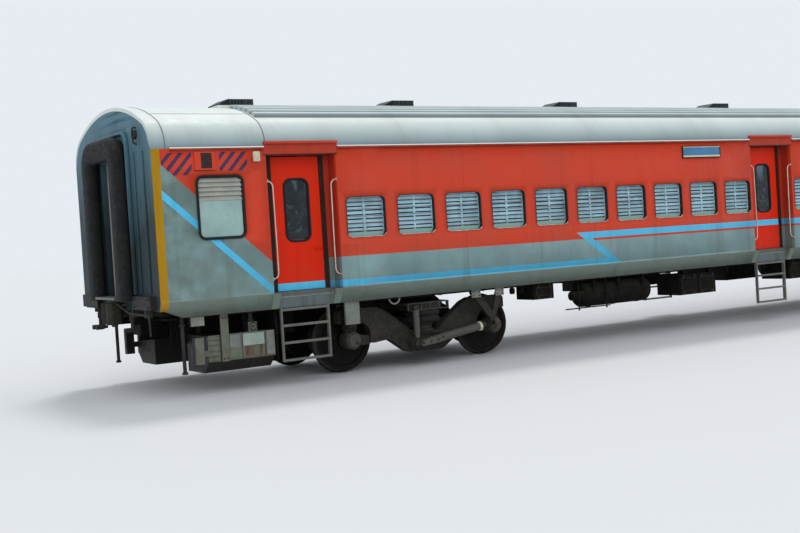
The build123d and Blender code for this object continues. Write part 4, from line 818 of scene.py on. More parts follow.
rubber, pane, handle = Piece(), Piece(), Piece()
profile = [(0.004, 0.0), (0.004, -0.008), (-0.004, -0.014), (-0.018, -0.013), (-0.028, -0.004)]
profile = np.array(profile + [(-0.028, 0.02), (0.0, 0.02)])
for ring in (profile, (0, 0.05) + profile * (1, -1)):
    wall_ring(rubber, DOOR_WINDOW_Z, DOOR_WINDOW, ring - (0, LEAF_Y), steps=10)
wall_ring(pane, DOOR_WINDOW_Z, DOOR_WINDOW, [(-0.024, y - LEAF_Y) for y in (0.012, 0.020)], 10, solid=True)
knob = np.array([(0.0, 0.028), (-0.006, 0.028), (-0.009, 0.02), (-0.03, 0.012)])
lathe(handle, knob, (GRIP_X, -LEAF_Y, GRIP_Z), 1, 16)
lever = np.array([(0.0, -0.028, 0.0), (0.05, -0.032, -0.002), (0.11, -0.030, -0.012)])
tube(handle, bend(lever + (GRIP_X, -LEAF_Y, GRIP_Z), 0.03), 0.012)
boxes(handle, 0.002, (GRIP_X - 0.022, -LEAF_Y - 0.004, 1.70, GRIP_X + 0.022, -LEAF_Y, 1.78))
for number, (mid, hinge) in enumerate(zip(DOOR_XS, HINGE_SIDES), start=1):
    for side, sign in (("right", 1), ("left", -1)):
        body = f"door_{side}_{number}"
        place = (sign, sign, sign * mid)
        rubber.build(f"{body}_rubber", RUBBER, [place], body, stands_for=(f"{body}_window",))
        pane.build(f"{body}_glass", DOOR_GLASS, [place], body)
        handle.build(f"{body}_handle", LEAF_PAINT, [(sign * hinge, sign, sign * mid)], body)
        dress(LEAF_PAINT, f"{body}_leaf")

# %% [markdown]
# ## Door recesses
# The posts are painted with the side's own pattern, darkened all over as
# painted shade inside the recess, with dust and rain streaks, and with a black
# seal down each side of the leaf. The grab rails are stainless tube bent back
# to the wall at both ends.

# %% Recess paint, seals and rails
paint = Finish("recess_paint", "recess_paint", 0.5, 0.2)
# Painted shade: the side's pattern is darkened all over, as inside the recess.
base = paint.mix(0.55, livery(paint), (184, 140, 130), "MULTIPLY")
paint.done(weathered(paint, base, 0.45, 1.0, 2.2, 1.0), dents=(paint.noise(60.0), 0.0015, 0.3))
dress(paint, "door_posts")
paint = Finish("sill_paint", "recess_paint", 0.5, 0.2)
base = weathered(paint, (88, 102, 104), 0.4, 0.9, 1.6, 0.8)
dress(paint.done(base, dents=(paint.noise(60.0), 0.0015, 0.3)), "door_sills")
paint = Finish("header_paint", "recess_paint", 0.45, 0.15)
z = paint.axes()[2]
base = paint.mix(paint.clouds(3.0), (178, 56, 36), (158, 48, 32))
# Painted highlight: the hood's top strip is a brighter red.
base = paint.mix(z > 3.345, base, (196, 60, 44))
# Painted shade: a dark band along the bottom of the header, over the door.
base = paint.mix(z < 3.198, base, (74, 26, 20))
dress(paint.done(weathered(paint, base, 0.3, 3.0, 3.4, 0.5)), "door_headers")

BESIDE_DOORS = [(end, 1, mid) for mid in DOOR_XS for end in (-1, 1)]
seals, rails = Piece(), Piece()
boxes(seals, 0.004, (0.378, -LEAF_Y - 0.012, 1.302, 0.448, -LEAF_Y, 3.18))
rail = [(0.534, 2.832), (0.50, 2.828), (0.455, 2.78), (0.449, 2.2), (0.447, 1.56)]
rail += [(0.472, 1.502), (0.534, 1.49)]
tube(rails, bend(np.insert(rail, 1, -1.602, axis=1), 0.03), 0.0118, 12, across=(0, 1, 0))
boxes(rails, 0.002, *[(0.530, -1.621, z - 0.026, 0.5405, -1.583, z + 0.026) for z in (1.49, 2.832)])
seals.build("door_seals", SEAL_PAINT, BESIDE_DOORS)
rails.build("grab_rails", RAIL_STEEL, BESIDE_DOORS, stands_for=("hand_rails", "rail_feet"))

# %% [markdown]
# ## The roof
# The roof is one height field: the plain arch, plus a raised deck with ribs
# in the middle. The deck fades out over a short distance at its edges and
# round each ventilator, which sits in a flat clearing of its own.

# %% The roof's arch
SHOULDER, RISE = 0.45, CROWN_Z - SIDE_TOP
SHOULDER_Y = SIDE_Y - SHOULDER
CROWN_RADIUS = (SHOULDER_Y**2 + RISE**2 - SHOULDER**2) / (2 * (RISE - SHOULDER))
CROWN_CENTRE = CROWN_Z - CROWN_RADIUS
JOIN_ANGLE = np.arctan2(SIDE_TOP - CROWN_CENTRE, SHOULDER_Y)
DECK_HALF_LENGTH, DECK_HALF_WIDTH, DECK_LIFT = 10.1, 1.28, 0.02
RIB_HEIGHT, RIB_PITCH, RIBS = 0.03, 0.15, 17
VENT_XS = np.array((-9.995, -7.2, -3.8, 0.0, 3.8, 7.2, 9.995))
VENT_HALF, VENT_NEAR, VENT_FAR, VENT_LOW, VENT_HIGH = 0.275, -0.45, -0.05, 4.012, 4.104
CURB, ROOF_WALL, FADE = 0.012, 0.05, 0.004


def arch(angle, lift):
    """The arch's (y, z) at an angle from the horizontal, from one side over the top to the other."""
    mirrored = np.minimum(angle, np.pi - angle)
    on_shoulder = mirrored < JOIN_ANGLE
    radius = np.where(on_shoulder, SHOULDER, CROWN_RADIUS) + lift
    y = np.where(on_shoulder, SHOULDER_Y, 0.0) + radius * np.cos(mirrored)
    z = np.where(on_shoulder, SIDE_TOP, CROWN_CENTRE) + radius * np.sin(mirrored)
    return np.where(angle > np.pi / 2, y, -y), z


def deck_height(x, y):
    """Height over the arch: a low deck with ribs, sloped off at its sides and cut out at each ventilator."""
    edge = np.clip((DECK_HALF_WIDTH - np.abs(y)) / 0.02, 0, 1)
    length = np.clip((DECK_HALF_LENGTH - np.abs(x)) / FADE, 0, 1)
    from_rib = np.abs((y / RIB_PITCH + 0.5) % 1 - 0.5) * RIB_PITCH
    rib = np.clip((0.048 - from_rib) / 0.013, 0, 1) * (np.abs(y) < RIB_PITCH * RIBS / 2)
    from_vent = np.abs(x[..., None] - VENT_XS).min(-1) - VENT_HALF - CURB
    past_side = np.maximum(VENT_NEAR - CURB - y, y - VENT_FAR - CURB)
    clear = np.clip(np.maximum(from_vent, past_side) / FADE, 0, 1)
    return edge * length * clear * (DECK_LIFT + RIB_HEIGHT * rib)


def roof_angles():
    """Angles across the arch: a few on each shoulder and many over the ribs."""
    edge = np.arccos(DECK_HALF_WIDTH / CROWN_RADIUS)
    side = np.append(np.linspace(0, JOIN_ANGLE, 18)[:-1], np.linspace(JOIN_ANGLE, edge, 4)[:-1])
    return np.concatenate([side, np.linspace(edge, np.pi - edge, 300), np.pi - side[::-1]])


def roof_grid(piece, xs):
    """A closed stretch of roof between its first and last x, as thick as the real one's wall."""
    angle = roof_angles()
    x = np.asarray(xs)[:, None]
    y, z = arch(angle, deck_height(x, arch(angle, 0.0)[0]))
    outer = np.stack(np.broadcast_arrays(x, y, z), axis=-1)
    inner = np.stack(np.broadcast_arrays(x, *arch(angle[::-6], -ROOF_WALL)), axis=-1)
    piece.grid(np.concatenate([outer, inner], axis=1), ends=True)


# %% Roof sections and their seams
SEAM_Y, SEAMS_FROM_END = 1.1, (0.20, 1.63)
roof_middle, roof_ends, seams = Piece(), Piece(), Piece()
vent_edges = np.add.outer(VENT_XS, (-VENT_HALF - CURB, VENT_HALF + CURB))
stations = np.add.outer(vent_edges, (-FADE, 0.0, FADE)).ravel()
stations = np.concatenate([np.linspace(-9, 9, 19), stations, (-10.1, -10.096, 10.096, 10.1)])
roof_grid(roof_middle, np.unique(stations[np.abs(stations) <= DECK_HALF_LENGTH].round(4)))
for x in VENT_XS:
    reach = VENT_HALF + CURB
    boxes(roof_middle, 0.003,
          (x - reach, VENT_NEAR - CURB, VENT_LOW - 0.07, x + reach, VENT_FAR + CURB, VENT_LOW))
roof_middle.build("ribbed_roof", ROOF_PAINT, stands_for=("roof_middle",), smooth=40, turned=False)
roof_grid(roof_ends, np.linspace(-BODY_END - 0.001, -DECK_HALF_LENGTH, 5))
roof_ends.build("plain_roof_ends", ROOF_PAINT, stands_for=("roof_ends",), smooth=40)

shoulder = np.linspace(0.0, JOIN_ANGLE, 12)[:-1]
angles = np.concatenate([shoulder, np.linspace(JOIN_ANGLE, np.pi - JOIN_ANGLE, 30), np.pi - shoulder[::-1]])
for from_end in SEAMS_FROM_END:
    rows = []
    for shift, lift in ((-0.006, -0.001), (-0.006, 0.004), (0.006, 0.004), (0.006, -0.001)):
        x = -BODY_END + from_end + shift
        rows.append(np.insert(np.column_stack(arch(angles, lift)), 0, x, axis=1))
    seams.grid(np.array(rows), close_rows=True, close_cols=False)
for side in (-SEAM_Y, SEAM_Y):
    z = arch(np.arccos(side / CROWN_RADIUS), 0.0)[1]
    boxes(seams, 0.001,
          (-BODY_END + 0.2, side - 0.005, z - 0.004, -DECK_HALF_LENGTH + 0.02, side + 0.005, z + 0.003))
seams.build("roof_seams", SEAM_GREY)

# %% [markdown]
# ## The ends
# An end wall is a plate with the body's own outline, here with the roof's
# curve worked out finely, and a doorway. Round the doorway stands a thick
# rubber tube, made of one rounded section swept up, over and down again. It
# presses against the next coach's, so its front is worn smooth. All of it is
# drawn from the end wall's outer face, at X = 0.

# %% End walls and gangways
AT_END = at(-BODY_END)
END_WALL, END_FOOT, SILL_FOOT = 0.08, 1.18, 1.262
PASSAGE_HALF, PASSAGE_FOOT, PASSAGE_TOP = 0.43, 1.33, 3.25
end_walls, gangway, gangway_frame = Piece(), Piece(), Piece()


def end_panel(near, far, z):
    """A block of the end wall between two edges, each given by its y at the same heights."""
    y = np.stack([near, far, far, near], axis=1)
    rows = np.broadcast_arrays((0, 0, END_WALL, END_WALL), y, z[:, None])
    end_walls.grid(np.stack(rows, axis=-1), ends=True)


arc_y, arc_z = arch(np.linspace(0, np.pi / 2, 40), -0.004)
foot_y = SIDE_Y - 0.004 - (SIDE_Y - SKIRT_Y) * (CREASE_Z - END_FOOT) / (CREASE_Z - SKIRT_Z)
y, z = np.append((foot_y, SIDE_Y - 0.004), -arc_y), np.append((END_FOOT, CREASE_Z), arc_z)
reach = np.minimum(y, PASSAGE_HALF)
for side in (-1, 1):
    end_panel(side * y, side * reach, z)
over = np.append(PASSAGE_HALF, reach[z > PASSAGE_TOP])
end_panel(over, -over, np.append(PASSAGE_TOP, z[z > PASSAGE_TOP]))
boxes(end_walls, 0.003,
      (0, -PASSAGE_HALF, SILL_FOOT, END_WALL, PASSAGE_HALF, PASSAGE_FOOT),
      (0, -PASSAGE_HALF, END_FOOT, END_WALL, -0.26, SILL_FOOT),
      (0, 0.26, END_FOOT, END_WALL, PASSAGE_HALF, SILL_FOOT))
boxes(end_walls, 0.008, *[(-0.02, y - 0.02, 1.42, 0, y + 0.02, 3.30) for y in (-1.32, -0.98, 0.98, 1.32)])
end_walls.build("end_plates", END_PAINT, AT_END, stands_for=("end_walls",))

wave = circle(np.array((1.0, 0.0)), np.array((0.0, 1.0)), 22)
rounded = np.sign(wave) * np.abs(wave) ** (0.6, 0.7)
hoop(gangway, 0.59, 3.41, 1.32, 0.20, -0.118, rounded * (0.158, 0.096))
hoop(gangway, 0.59, 3.41, 1.34, 0.20, -0.012, rounded * (0.115, 0.022))
gangway.build("gangway_rubber", RUBBER, AT_END, stands_for=("gangway_bellows",), smooth=50)
hoop(gangway_frame, 0.785, 3.60, 1.40, 0.16, -0.030, rounded * (0.022, 0.030), 6)
gangway_frame.build("gangway_frame", END_PAINT, AT_END, smooth=50)

# %% [markdown]
# Low on the end wall sit the lever that frees the coupler, the stop valves of
# the brake pipes and the coupler's pin, with a hook and a lamp bracket high
# up. They are thick steel, in black paint that brake dust has turned brown.

# %% Coupler fittings
levers = Piece()
lever = [(-0.075, -1.38, 0.86), (-0.075, -1.36, 1.13), (-0.11, -0.70, 1.15), (-0.12, -0.14, 1.30)]
tube(levers, bend(lever, 0.05), 0.014, 8, across=(1, 0, 0))
boxes(levers, 0.004, *[(-0.10, y - 0.02, 1.10, 0, y + 0.02, 1.21) for y in (-1.28, -0.78)])
for y in (-0.62, 0.62, 0.78):
    valve = [(0.90, 0.026), (1.04, 0.026), (1.05, 0.038), (1.12, 0.038), (1.14, 0.026), (1.22, 0.026)]
    lathe(levers, valve, (-0.05, y, 0), 2, 12)
    lathe(levers, [(-0.12, 0.034), (-0.02, 0.034), (0.02, 0.022), (0.05, 0.022)], (-0.05, y, 0.92), 0, 12)
hook = [(0, -1.12, 3.62), (-0.05, -1.12, 3.62), (-0.05, -1.12, 3.42), (0, -1.12, 3.40)]
tube(levers, bend(hook, 0.02), 0.012, 8, across=(0, 1, 0))
lathe(levers, [(-0.045, 0.05), (-0.035, 0.062), (0, 0.062)], (0, -1.10, 3.53), 0, 16)
bolts(levers, [(-0.098, y, z) for y in (-1.38, -0.84) for z in (1.24, 1.35)], 0, 0.016, 0.012)
bolts(levers, [(-0.07 - 0.04 * i, -0.12, 1.285) for i in range(3)], 2, 0.018, 0.012)
lathe(levers, [(0.955, 0.04), (0.97, 0.045), (1.29, 0.045), (1.305, 0.038)], (-0.13, -0.115, 0), 2, 16)
levers.build("coupler_fittings", GEAR_PAINT, AT_END)

# %% [markdown]
# ## Ventilators on the roof
# Each is a low black hood, sloped at one end and open at the other, where a
# dark box, painted shade of the vent's inside, stands behind a row of thin
# bars. Bars also run along its near side, which stays a simple shape for
# something so small.

# %% Roof ventilators
NEAR, FAR, LOW, HIGH = VENT_NEAR, VENT_FAR, VENT_LOW, VENT_HIGH
AT_VENTS = at(*VENT_XS)
cowls, mesh_boxes, mesh_bars = Piece(), Piece(), Piece()
slab(cowls, [(-0.275, LOW), (0.125, LOW), (0.125, HIGH), (-0.125, HIGH), (-0.275, 4.03)], NEAR, FAR, 0.006)
boxes(cowls, 0.003, (0.262, NEAR, LOW, 0.275, FAR, HIGH), (0.115, NEAR, HIGH - 0.01, 0.27, FAR, HIGH),
      (0.115, NEAR, LOW, 0.27, FAR, LOW + 0.01))
boxes(mesh_boxes, 0.001, (0.12, NEAR + 0.02, 4.02, 0.265, FAR - 0.02, 4.096))
for x in -0.09 + 0.05 * np.arange(8):
    boxes(mesh_bars, 0.001, (x - 0.004, NEAR - 0.003, 4.028, x + 0.004, NEAR + 0.01, 4.088))
boxes(mesh_bars, 0.001, (-0.125, NEAR - 0.003, 4.093, 0.275, NEAR + 0.01, 4.101))
for x in 0.137 + 0.019 * np.arange(7):
    boxes(mesh_bars, 0.001, (x - 0.003, NEAR + 0.006, 4.02, x + 0.003, FAR - 0.006, 4.096))
cowls.build("roof_vent_cowls", VENT_BLACK, AT_VENTS, stands_for=("roof_vents",), turned=False)
mesh_boxes.build("roof_vent_insides", INSIDE_SHADE, AT_VENTS, turned=False)
mesh_bars.build("roof_vent_bars", VENT_GREY, AT_VENTS, turned=False)

# %% [markdown]
# ## Small fittings on the sides
# An air inlet box with a dark grille, a lamp under its own rounded hood, the
# frame of the blank name board and the pale plates at the corners of each
# sill.

# %% Grilles, lamps, board frames and sills
INLET_X, LAMP_X = 11.045, 10.29
BOARD = (-2.24, 3.01, -1.34, 3.19)
grille_backs, grille_slats, lamps, frames, sills = (Piece() for _ in range(5))
boxes(grille_backs, 0.001, (-0.055, -1.6555, 3.022, 0.10, -1.632, 3.226))
for z in 3.028 + 0.0195 * np.arange(10):
    boxes(grille_slats, 0.001, (-0.049, -1.6575, z, 0.013, -1.640, z + 0.006),
          (0.027, -1.6575, z, 0.094, -1.640, z + 0.006))
boxes(frames, 0.002, *[(x - 0.145, -1.656, 2.994, x + 0.145, -1.62, 3.0) for x in (-INLET_X, INLET_X)])
for x in (-LAMP_X, LAMP_X):
    boxes(lamps, 0.014, (x - 0.05, -1.664, 3.1, x + 0.05, -1.62, 3.236))
    lathe(lamps, [(-1.662, 0.035), (-1.672, 0.035), (-1.679, 0.028), (-1.681, 0.012)], (x, 0, 3.165), 1, 20)
x0, z0, x1, z1 = BOARD
rows = [(x0 - 0.012, z0 - 0.012, x1 + 0.012, z0), (x0 - 0.012, z1, x1 + 0.012, z1 + 0.012)]
for a, b, c, d in rows + [(x0 - 0.012, z0, x0, z1), (x1, z0, x1 + 0.012, z1)]:
    boxes(frames, 0.003, (a, -1.648, b, c, -1.62, d))
boxes(lamps, 0.002, (x0, -1.646, z0, x1, -1.63, z0 + 0.03), (x0, -1.646, z1 - 0.014, x1, -1.63, z1))
boxes(sills, 0.004, *[(end * 0.425, -1.487, 1.10, end * 0.51, -1.475, 1.262) for end in (-1, 1)],
      (-0.41, -1.486, 1.215, 0.41, -1.45, 1.236))
# The dark backs behind the inlet slats are painted shade.
grille_backs.build("inlet_grille_backs", INSIDE_SHADE, at(-INLET_X, INLET_X))
grille_slats.build("inlet_grille_slats", INLET_RED, at(-INLET_X, INLET_X))
lamps.build("side_lamp_hoods", LAMP_CREAM, stands_for=("side_lamps",))
frames.build("name_board_frames", SEAL_PAINT, slot=BLACK)
sills.build("sill_corner_plates", PLATE_PAINT, at(*DOOR_XS))

# %% [markdown]
# ## Steps and tanks
# The ladder under each door is bent from channel, so each rung shows a lip
# at its front edge. The tank beside it has a belt, ribs, a valve and a bright
# repaired plate with rust running down from it.

# %% Ladders
LADDER_LEFT, LADDER_RIGHT = -0.405, 0.345
stiles, rungs = Piece(), Piece()
for x, end in ((LADDER_LEFT, -1), (LADDER_RIGHT, 1)):
    boxes(stiles, 0.004, (x - end * 0.022, -1.515, 0.33, x, -1.455, 1.08))
    boxes(stiles, 0.002, (x - 0.007, -1.518, 0.33, x + 0.007, -1.509, 1.08))
left, right = LADDER_LEFT + 0.02, LADDER_RIGHT - 0.02
for z in (0.344, 0.585, 0.825, 1.045):
    boxes(rungs, 0.003, (left, -1.512, z, right, -1.452, z + 0.018),
          (left, -1.516, z - 0.012, right, -1.508, z + 0.024))
stiles.build("ladder_stiles", STEP_PAINT, at(*DOOR_XS), stands_for=("step_stiles",))
rungs.build("ladder_rungs", STEP_PAINT, at(*DOOR_XS), stands_for=("step_rungs",))

# %% Tank fittings
BOTH_ENDS = ((1, 1, 0), (-1, 1, 0))
BELT = ((-10.76, -10.565), (-10.565, -10.225), (-10.225, -10.21), (-11.07, -10.89))
VALVE_X, VALVE_Z, PIPE_X = 10.39, 0.865, 11.40
dark, pale, trim, bright = (Piece() for _ in range(4))
boxes(bright, 0.004, (-10.56, -1.413, 0.61, -10.24, -1.398, 0.775))
boxes(pale, 0.004, (-10.205, -1.405, 0.46, -10.085, -1.398, 0.785),
      (-10.752, -1.405, 0.60, -10.60, -1.398, 0.775))
for z in 0.50 + 0.075 * np.arange(4):
    boxes(trim, 0.004, (-11.06, -1.409, z, -10.895, -1.399, z + 0.012))
for x0, x1 in BELT:
    boxes(trim, 0.003, (x0, -1.407, 0.437, x1, -1.398, 0.452), (x0, -1.407, 0.775, x1, -1.398, 0.795))
boxes(dark, 0.003, (-11.073, -1.404, 0.425, -10.077, -1.35, 0.44))
bolts(dark, [(x, -1.439, z) for x in (-10.8525, -10.8025) for z in (1.02, 0.47)], 1, 0.012, 0.01)
tube(dark, [(-PIPE_X, -1.36, 1.12), (-PIPE_X, -1.36, 0.31)], 0.026, 10, across=(0, 1, 0))
for z in (0.31, 0.95):
    lathe(dark, [(z, 0.04), (z + 0.03, 0.04)], (-PIPE_X, -1.36, 0), 2, 12)
dark, pale, trim = (piece.placed(*BOTH_ENDS) for piece in (dark, pale, trim))
for x in (-VALVE_X, VALVE_X):
    stem = [(0.92, 0.045), (0.95, 0.045), (0.96, 0.03), (1.04, 0.03), (1.06, 0.05), (1.10, 0.05)]
    lathe(dark, stem, (x, -1.31, 0), 2, 14)
    angle = np.linspace(0, 2 * np.pi, 17)
    rim = np.column_stack([x + 0.055 * np.cos(angle), 0 * angle - 1.405, VALVE_Z + 0.055 * np.sin(angle)])
    tube(dark, rim, 0.007, 6, across=(0, 1, 0))
    lathe(dark, [(-1.41, 0.012), (-1.38, 0.012)], (x, 0, VALVE_Z), 1, 10)
for x in [x1 for x0, x1 in BELT] + [-x0 for x0, x1 in BELT]:
    boxes(trim, 0.002, (x - 0.008, -1.406, 0.45, x, -1.398, 0.78))
boxes(pale, 0.004, *[(x, -1.452, 0.943, x + 0.19, -1.441, 1.068) for x in (-11.31, 11.11)])
dark.build("tank_dark_fittings", GEAR_PAINT)
bright.build("tank_repair_plates", BRIGHT_PLATE, BOTH_ENDS)
pale.build("tank_pale_plates", PLATE_PAINT)
trim.build("tank_ribs", TANK_PAINT)

# %% [markdown]
# ## Bogies
# Both bogies are the same, so each piece is drawn once on one side about the
# bogie's middle, mirrored to the other side, and set under each end with the
# second bogie turned half round. The side frame is a box girder: its web
# lies a little inside its flanges, and that edge catches the light.

# %% Side frames
SPRING_Y = -1.115


def on_bogies(name, finish, near, stands_for=None, middle=None, smooth=35, slot=None):
    """Mirrors a near side piece, adds what runs across, and builds it on each bogie's own body."""
    for number, shift, turn in ((1, -BOGIE_X, 1), (2, BOGIE_X, -1)):
        whole = near.placed((turn, turn, shift), (turn, -turn, shift))
        if middle:
            part = middle.placed((turn, turn, shift))
            whole.add(np.concatenate(part.points), part.faces)
        body = f"bogie_{number}"
        replaced = (f"{body}_{stands_for}",) if stands_for else ()
        whole.build(f"{body}_{name}", finish, body=body, slot=slot, stands_for=replaced, smooth=smooth)


HALF_FRAME = [(0.20, 0.50), (0.27, 0.555), (0.48, 0.715), (0.72, 0.89), (0.86, 0.945), (1.45, 0.945)]
HALF_FRAME += [(1.50, 0.905), (1.50, 0.745), (1.13, 0.745), (1.04, 0.705), (0.985, 0.64), (0.965, 0.56)]
HALF_FRAME += [(0.965, 0.43), (0.925, 0.415), (0.65, 0.445), (0.35, 0.235), (0.29, 0.212)]
line = np.array(HALF_FRAME + [(-x, z) for x, z in reversed(HALF_FRAME)])
middle = (line[-1:] + line[:1]) / 2
line = bend(np.vstack([middle, line, middle]), 0.018, 3)[:-1]
side_frame, across = Piece(), Piece()
slab(side_frame, inset(line, 0.010), -1.055, -1.176, 0.002)
bead(side_frame, line, 0.014, -1.042, -1.190)
for x in (-0.60, -0.25, 0.25, 0.60):
    boxes(side_frame, 0.002, (x - 0.006, -1.184, 0.47, x + 0.006, -1.17, 0.52))
boxes(side_frame, 0.01, (-0.33, -1.33, 0.30, -0.16, -1.17, 0.40))
boxes(side_frame, 0.008, (-0.25, -1.225, 0.46, 0.25, -1.045, 0.505))
for x in (-0.43, 0.43):
    lathe(across, [(-1.05, 0.085), (1.05, 0.085)], (x, 0, 0.56), 1, 28)
    for y in (-1.0, 1.0):
        collar = [(-0.05, 0.10), (-0.045, 0.11), (0.045, 0.11), (0.05, 0.10)]
        lathe(across, collar, (x, y, 0.56), 1, 28)
on_bogies("side_frames", GEAR_PAINT, side_frame, "frame", across)

# %% Springs
COIL_RADIUS, COIL_TURNS, COIL_FOOT, COIL_RISE = 0.098, 2.2, 0.666, 0.064
LOBE, LOBE_HALF = 0.235, 0.044
air, seats, coils, flanges = (Piece() for _ in range(4))
t = np.linspace(-1, 1, 9)
lobe = LOBE + 0.04 * np.sqrt(np.clip(1 - t**2, 0, 1))
lobes = [(z + LOBE_HALF * a, r) for z in (0.684, 0.786) for a, r in zip(t, lobe)]
lathe(air, [(0.64, 0.17)] + lobes + [(0.83, 0.17)], (0, SPRING_Y, 0), 2, 40)
seat = [(0.50, 0.155), (0.505, 0.168), (0.535, 0.17), (0.54, 0.145), (0.60, 0.145), (0.61, 0.168)]
lathe(seats, seat + [(0.64, 0.17), (0.642, 0.15)], (0, SPRING_Y, 0), 2, 36)
lathe(seats, [(0.729, 0.24), (0.731, 0.245), (0.739, 0.245), (0.741, 0.24)], (0, SPRING_Y, 0), 2, 36)
turns = np.linspace(0, COIL_TURNS * 2 * np.pi, 70)
seat = [(0.65, 0.115), (0.664, 0.115), (0.666, 0.06), (0.730, 0.06), (0.732, 0.115), (0.745, 0.115)]
for x in (-AXLE_X, AXLE_X):
    round_x, round_y = x + COIL_RADIUS * np.cos(turns), SPRING_Y + COIL_RADIUS * np.sin(turns)
    tube(coils, np.column_stack([round_x, round_y, COIL_FOOT + COIL_RISE * turns / turns[-1]]), 0.0155, 8)
    lathe(seats, seat, (x, SPRING_Y, 0), 2, 28)
boxes(flanges, 0.003, (-0.36, -1.312, 0.932, 0.38, -1.20, 0.948), (-0.36, -1.312, 0.832, 0.38, -1.27, 0.846),
      (-0.36, -1.312, 0.832, -0.34, -1.27, 0.94))
for x in (-0.12, 0.04, 0.20, 0.37):
    boxes(flanges, 0.002, (x - 0.007, -1.310, 0.84, x + 0.007, -1.24, 0.938))
on_bogies("bolster_flanges", DAMPER_GREY, flanges)
on_bogies("air_springs", RUBBER, air, smooth=50)
on_bogies("spring_seats", GEAR_PAINT, seats, "springs")
on_bogies("coils", SPRING_PAINT, coils, smooth=60)

# %% Axleboxes
housings, covers = Piece(), Piece()
shell = [(-1.012, 0.120), (-1.02, 0.132), (-1.20, 0.138), (-1.212, 0.132), (-1.22, 0.118), (-1.232, 0.118)]
lathe(housings, shell, (AXLE_X, 0, AXLE_Z), 1, 36)
arm = [(AXLE_X, 0.40), (AXLE_X, 0.59), (1.14, 0.565), (1.03, 0.54), (0.972, 0.535), (0.972, 0.425)]
slab(housings, arm + [(1.05, 0.405)], -1.07, -1.16, 0.010)
boxes(housings, 0.008, (AXLE_X - 0.09, -1.16, AXLE_Z, AXLE_X + 0.09, -1.07, 0.65))
for z in (0.45, 0.51):
    lathe(housings, [(-1.172, 0.02), (-1.06, 0.02)], (1.0, 0, z), 1, 10)
lead = [(AXLE_X - 0.02, -1.285, AXLE_Z), (AXLE_X, -1.31, AXLE_Z - 0.02), (AXLE_X - 0.10, -1.30, 0.42)]
tube(housings, bend(lead + [(0.99, -1.20, 0.42)], 0.03), 0.009, 6, across=(0, 1, 0.1))
cap = [(-1.225, 0.119), (-1.236, 0.119), (-1.240, 0.102), (-1.272, 0.098), (-1.282, 0.086)]
lathe(covers, cap + [(-1.289, 0.055), (-1.290, 0.02)], (0, 0, AXLE_Z), 1, 36)
angle = np.arange(6) * np.pi / 3 + 0.3
outer_bolts = (0.109, -1.246, angle, 0.011, 0.012)
inner_bolts = (0.045, -1.298, angle[::2], 0.009, 0.010)
for radius, y, angles, size, height in (outer_bolts, inner_bolts):
    spots = np.column_stack([radius * np.cos(angles), 0 * angles + y, AXLE_Z + radius * np.sin(angles)])
    bolts(covers, spots, 1, size, height)
on_bogies("axlebox_housings", GEAR_PAINT, housings.placed((-1, 1, 0), (1, 1, 0)), "axleboxes")
on_bogies("axlebox_covers", BOX_GREY, covers.placed(*at(-AXLE_X, AXLE_X)))

# %% Dampers
YAW_Y, UPRIGHT_Y = -1.39, -1.40
DAMPERS = (((-0.20, 0.35), (0.955, 0.514), YAW_Y, 0.062), ((-0.285, 0.35), (-0.285, 0.885), UPRIGHT_Y, 0.046))
barrels, rods, collars = Piece(), Piece(), Piece()
for (x0, z0), (x1, z1), y, radius in DAMPERS:
    start, stop = np.array((x0, y, z0)), np.array((x1, y, z1))
    length = np.linalg.norm(stop - start)
    ahead, across = (stop - start) / length, np.array((0.0, 1.0, 0.0))
    line = (start, ahead, across, np.cross(ahead, across))
    bar(rods, *line, [(0, 0.024), (0.46 * length, 0.024)], 20)
    bar(barrels, *line, [(0.09, radius - 0.016), (0.10, radius - 0.008), (0.40 * length, radius - 0.008)], 24)
    barrel = [(0.33 * length, radius - 0.02), (0.33 * length, radius), (0.93 * length, radius)]
    bar(barrels, *line, barrel + [(0.94 * length, radius - 0.02), (length - 0.03, 0.022)], 24)
    if x1 > x0:
        collar = [(0.905, 0.0), (0.91, 0.012), (0.94, 0.012), (0.945, -0.02)]
        bar(collars, *line, [(share * length, radius + rise) for share, rise in collar], 24)
    for x, z in ((x0, z0), (x1, z1)):
        eye = [(0.024, 0.030), (0.022, 0.043), (-0.022, 0.043), (-0.024, 0.030), (-0.030, 0.016)]
        lathe(rods, eye, (x, y, z), 1, 20)
for x, z, y in ((-0.20, 0.35, YAW_Y), (-0.285, 0.35, UPRIGHT_Y), (-0.285, 0.885, UPRIGHT_Y)):
    lathe(rods, [(-1.32, 0.022), (y, 0.022)], (x, 0, z), 1, 14)
casting = [(-0.235, 0.32), (-0.21, 0.305), (0.05, 0.33), (0.17, 0.35), (0.205, 0.38)]
casting += [(0.21, 0.43), (0.18, 0.462), (0.06, 0.43), (-0.08, 0.405), (-0.20, 0.395)]
for y in (-1.348, -1.436):
    slab(barrels, casting, y + 0.009, y - 0.009, 0.005)
for x, z in ((-0.20, 0.35), (-0.07, 0.362), (0.06, 0.382), (0.15, 0.41)):
    lathe(rods, [(-1.33, 0.022), (-1.445, 0.022), (-1.452, 0.016)], (x, 0, z), 1, 6)
on_bogies("damper_bodies", DAMPER_GREY, barrels, "dampers")
on_bogies("damper_eyes", GEAR_PAINT, rods)
on_bogies("damper_collars", LAMP_CREAM, collars, slot=GEAR)

# %% [markdown]
# ## Wheels
# A wheelset is the clearest turned part of all: one profile from journal to
# journal, with two flanged wheels and two brake discs, carried round the
# axle. The tread is bright where it runs on the rail.

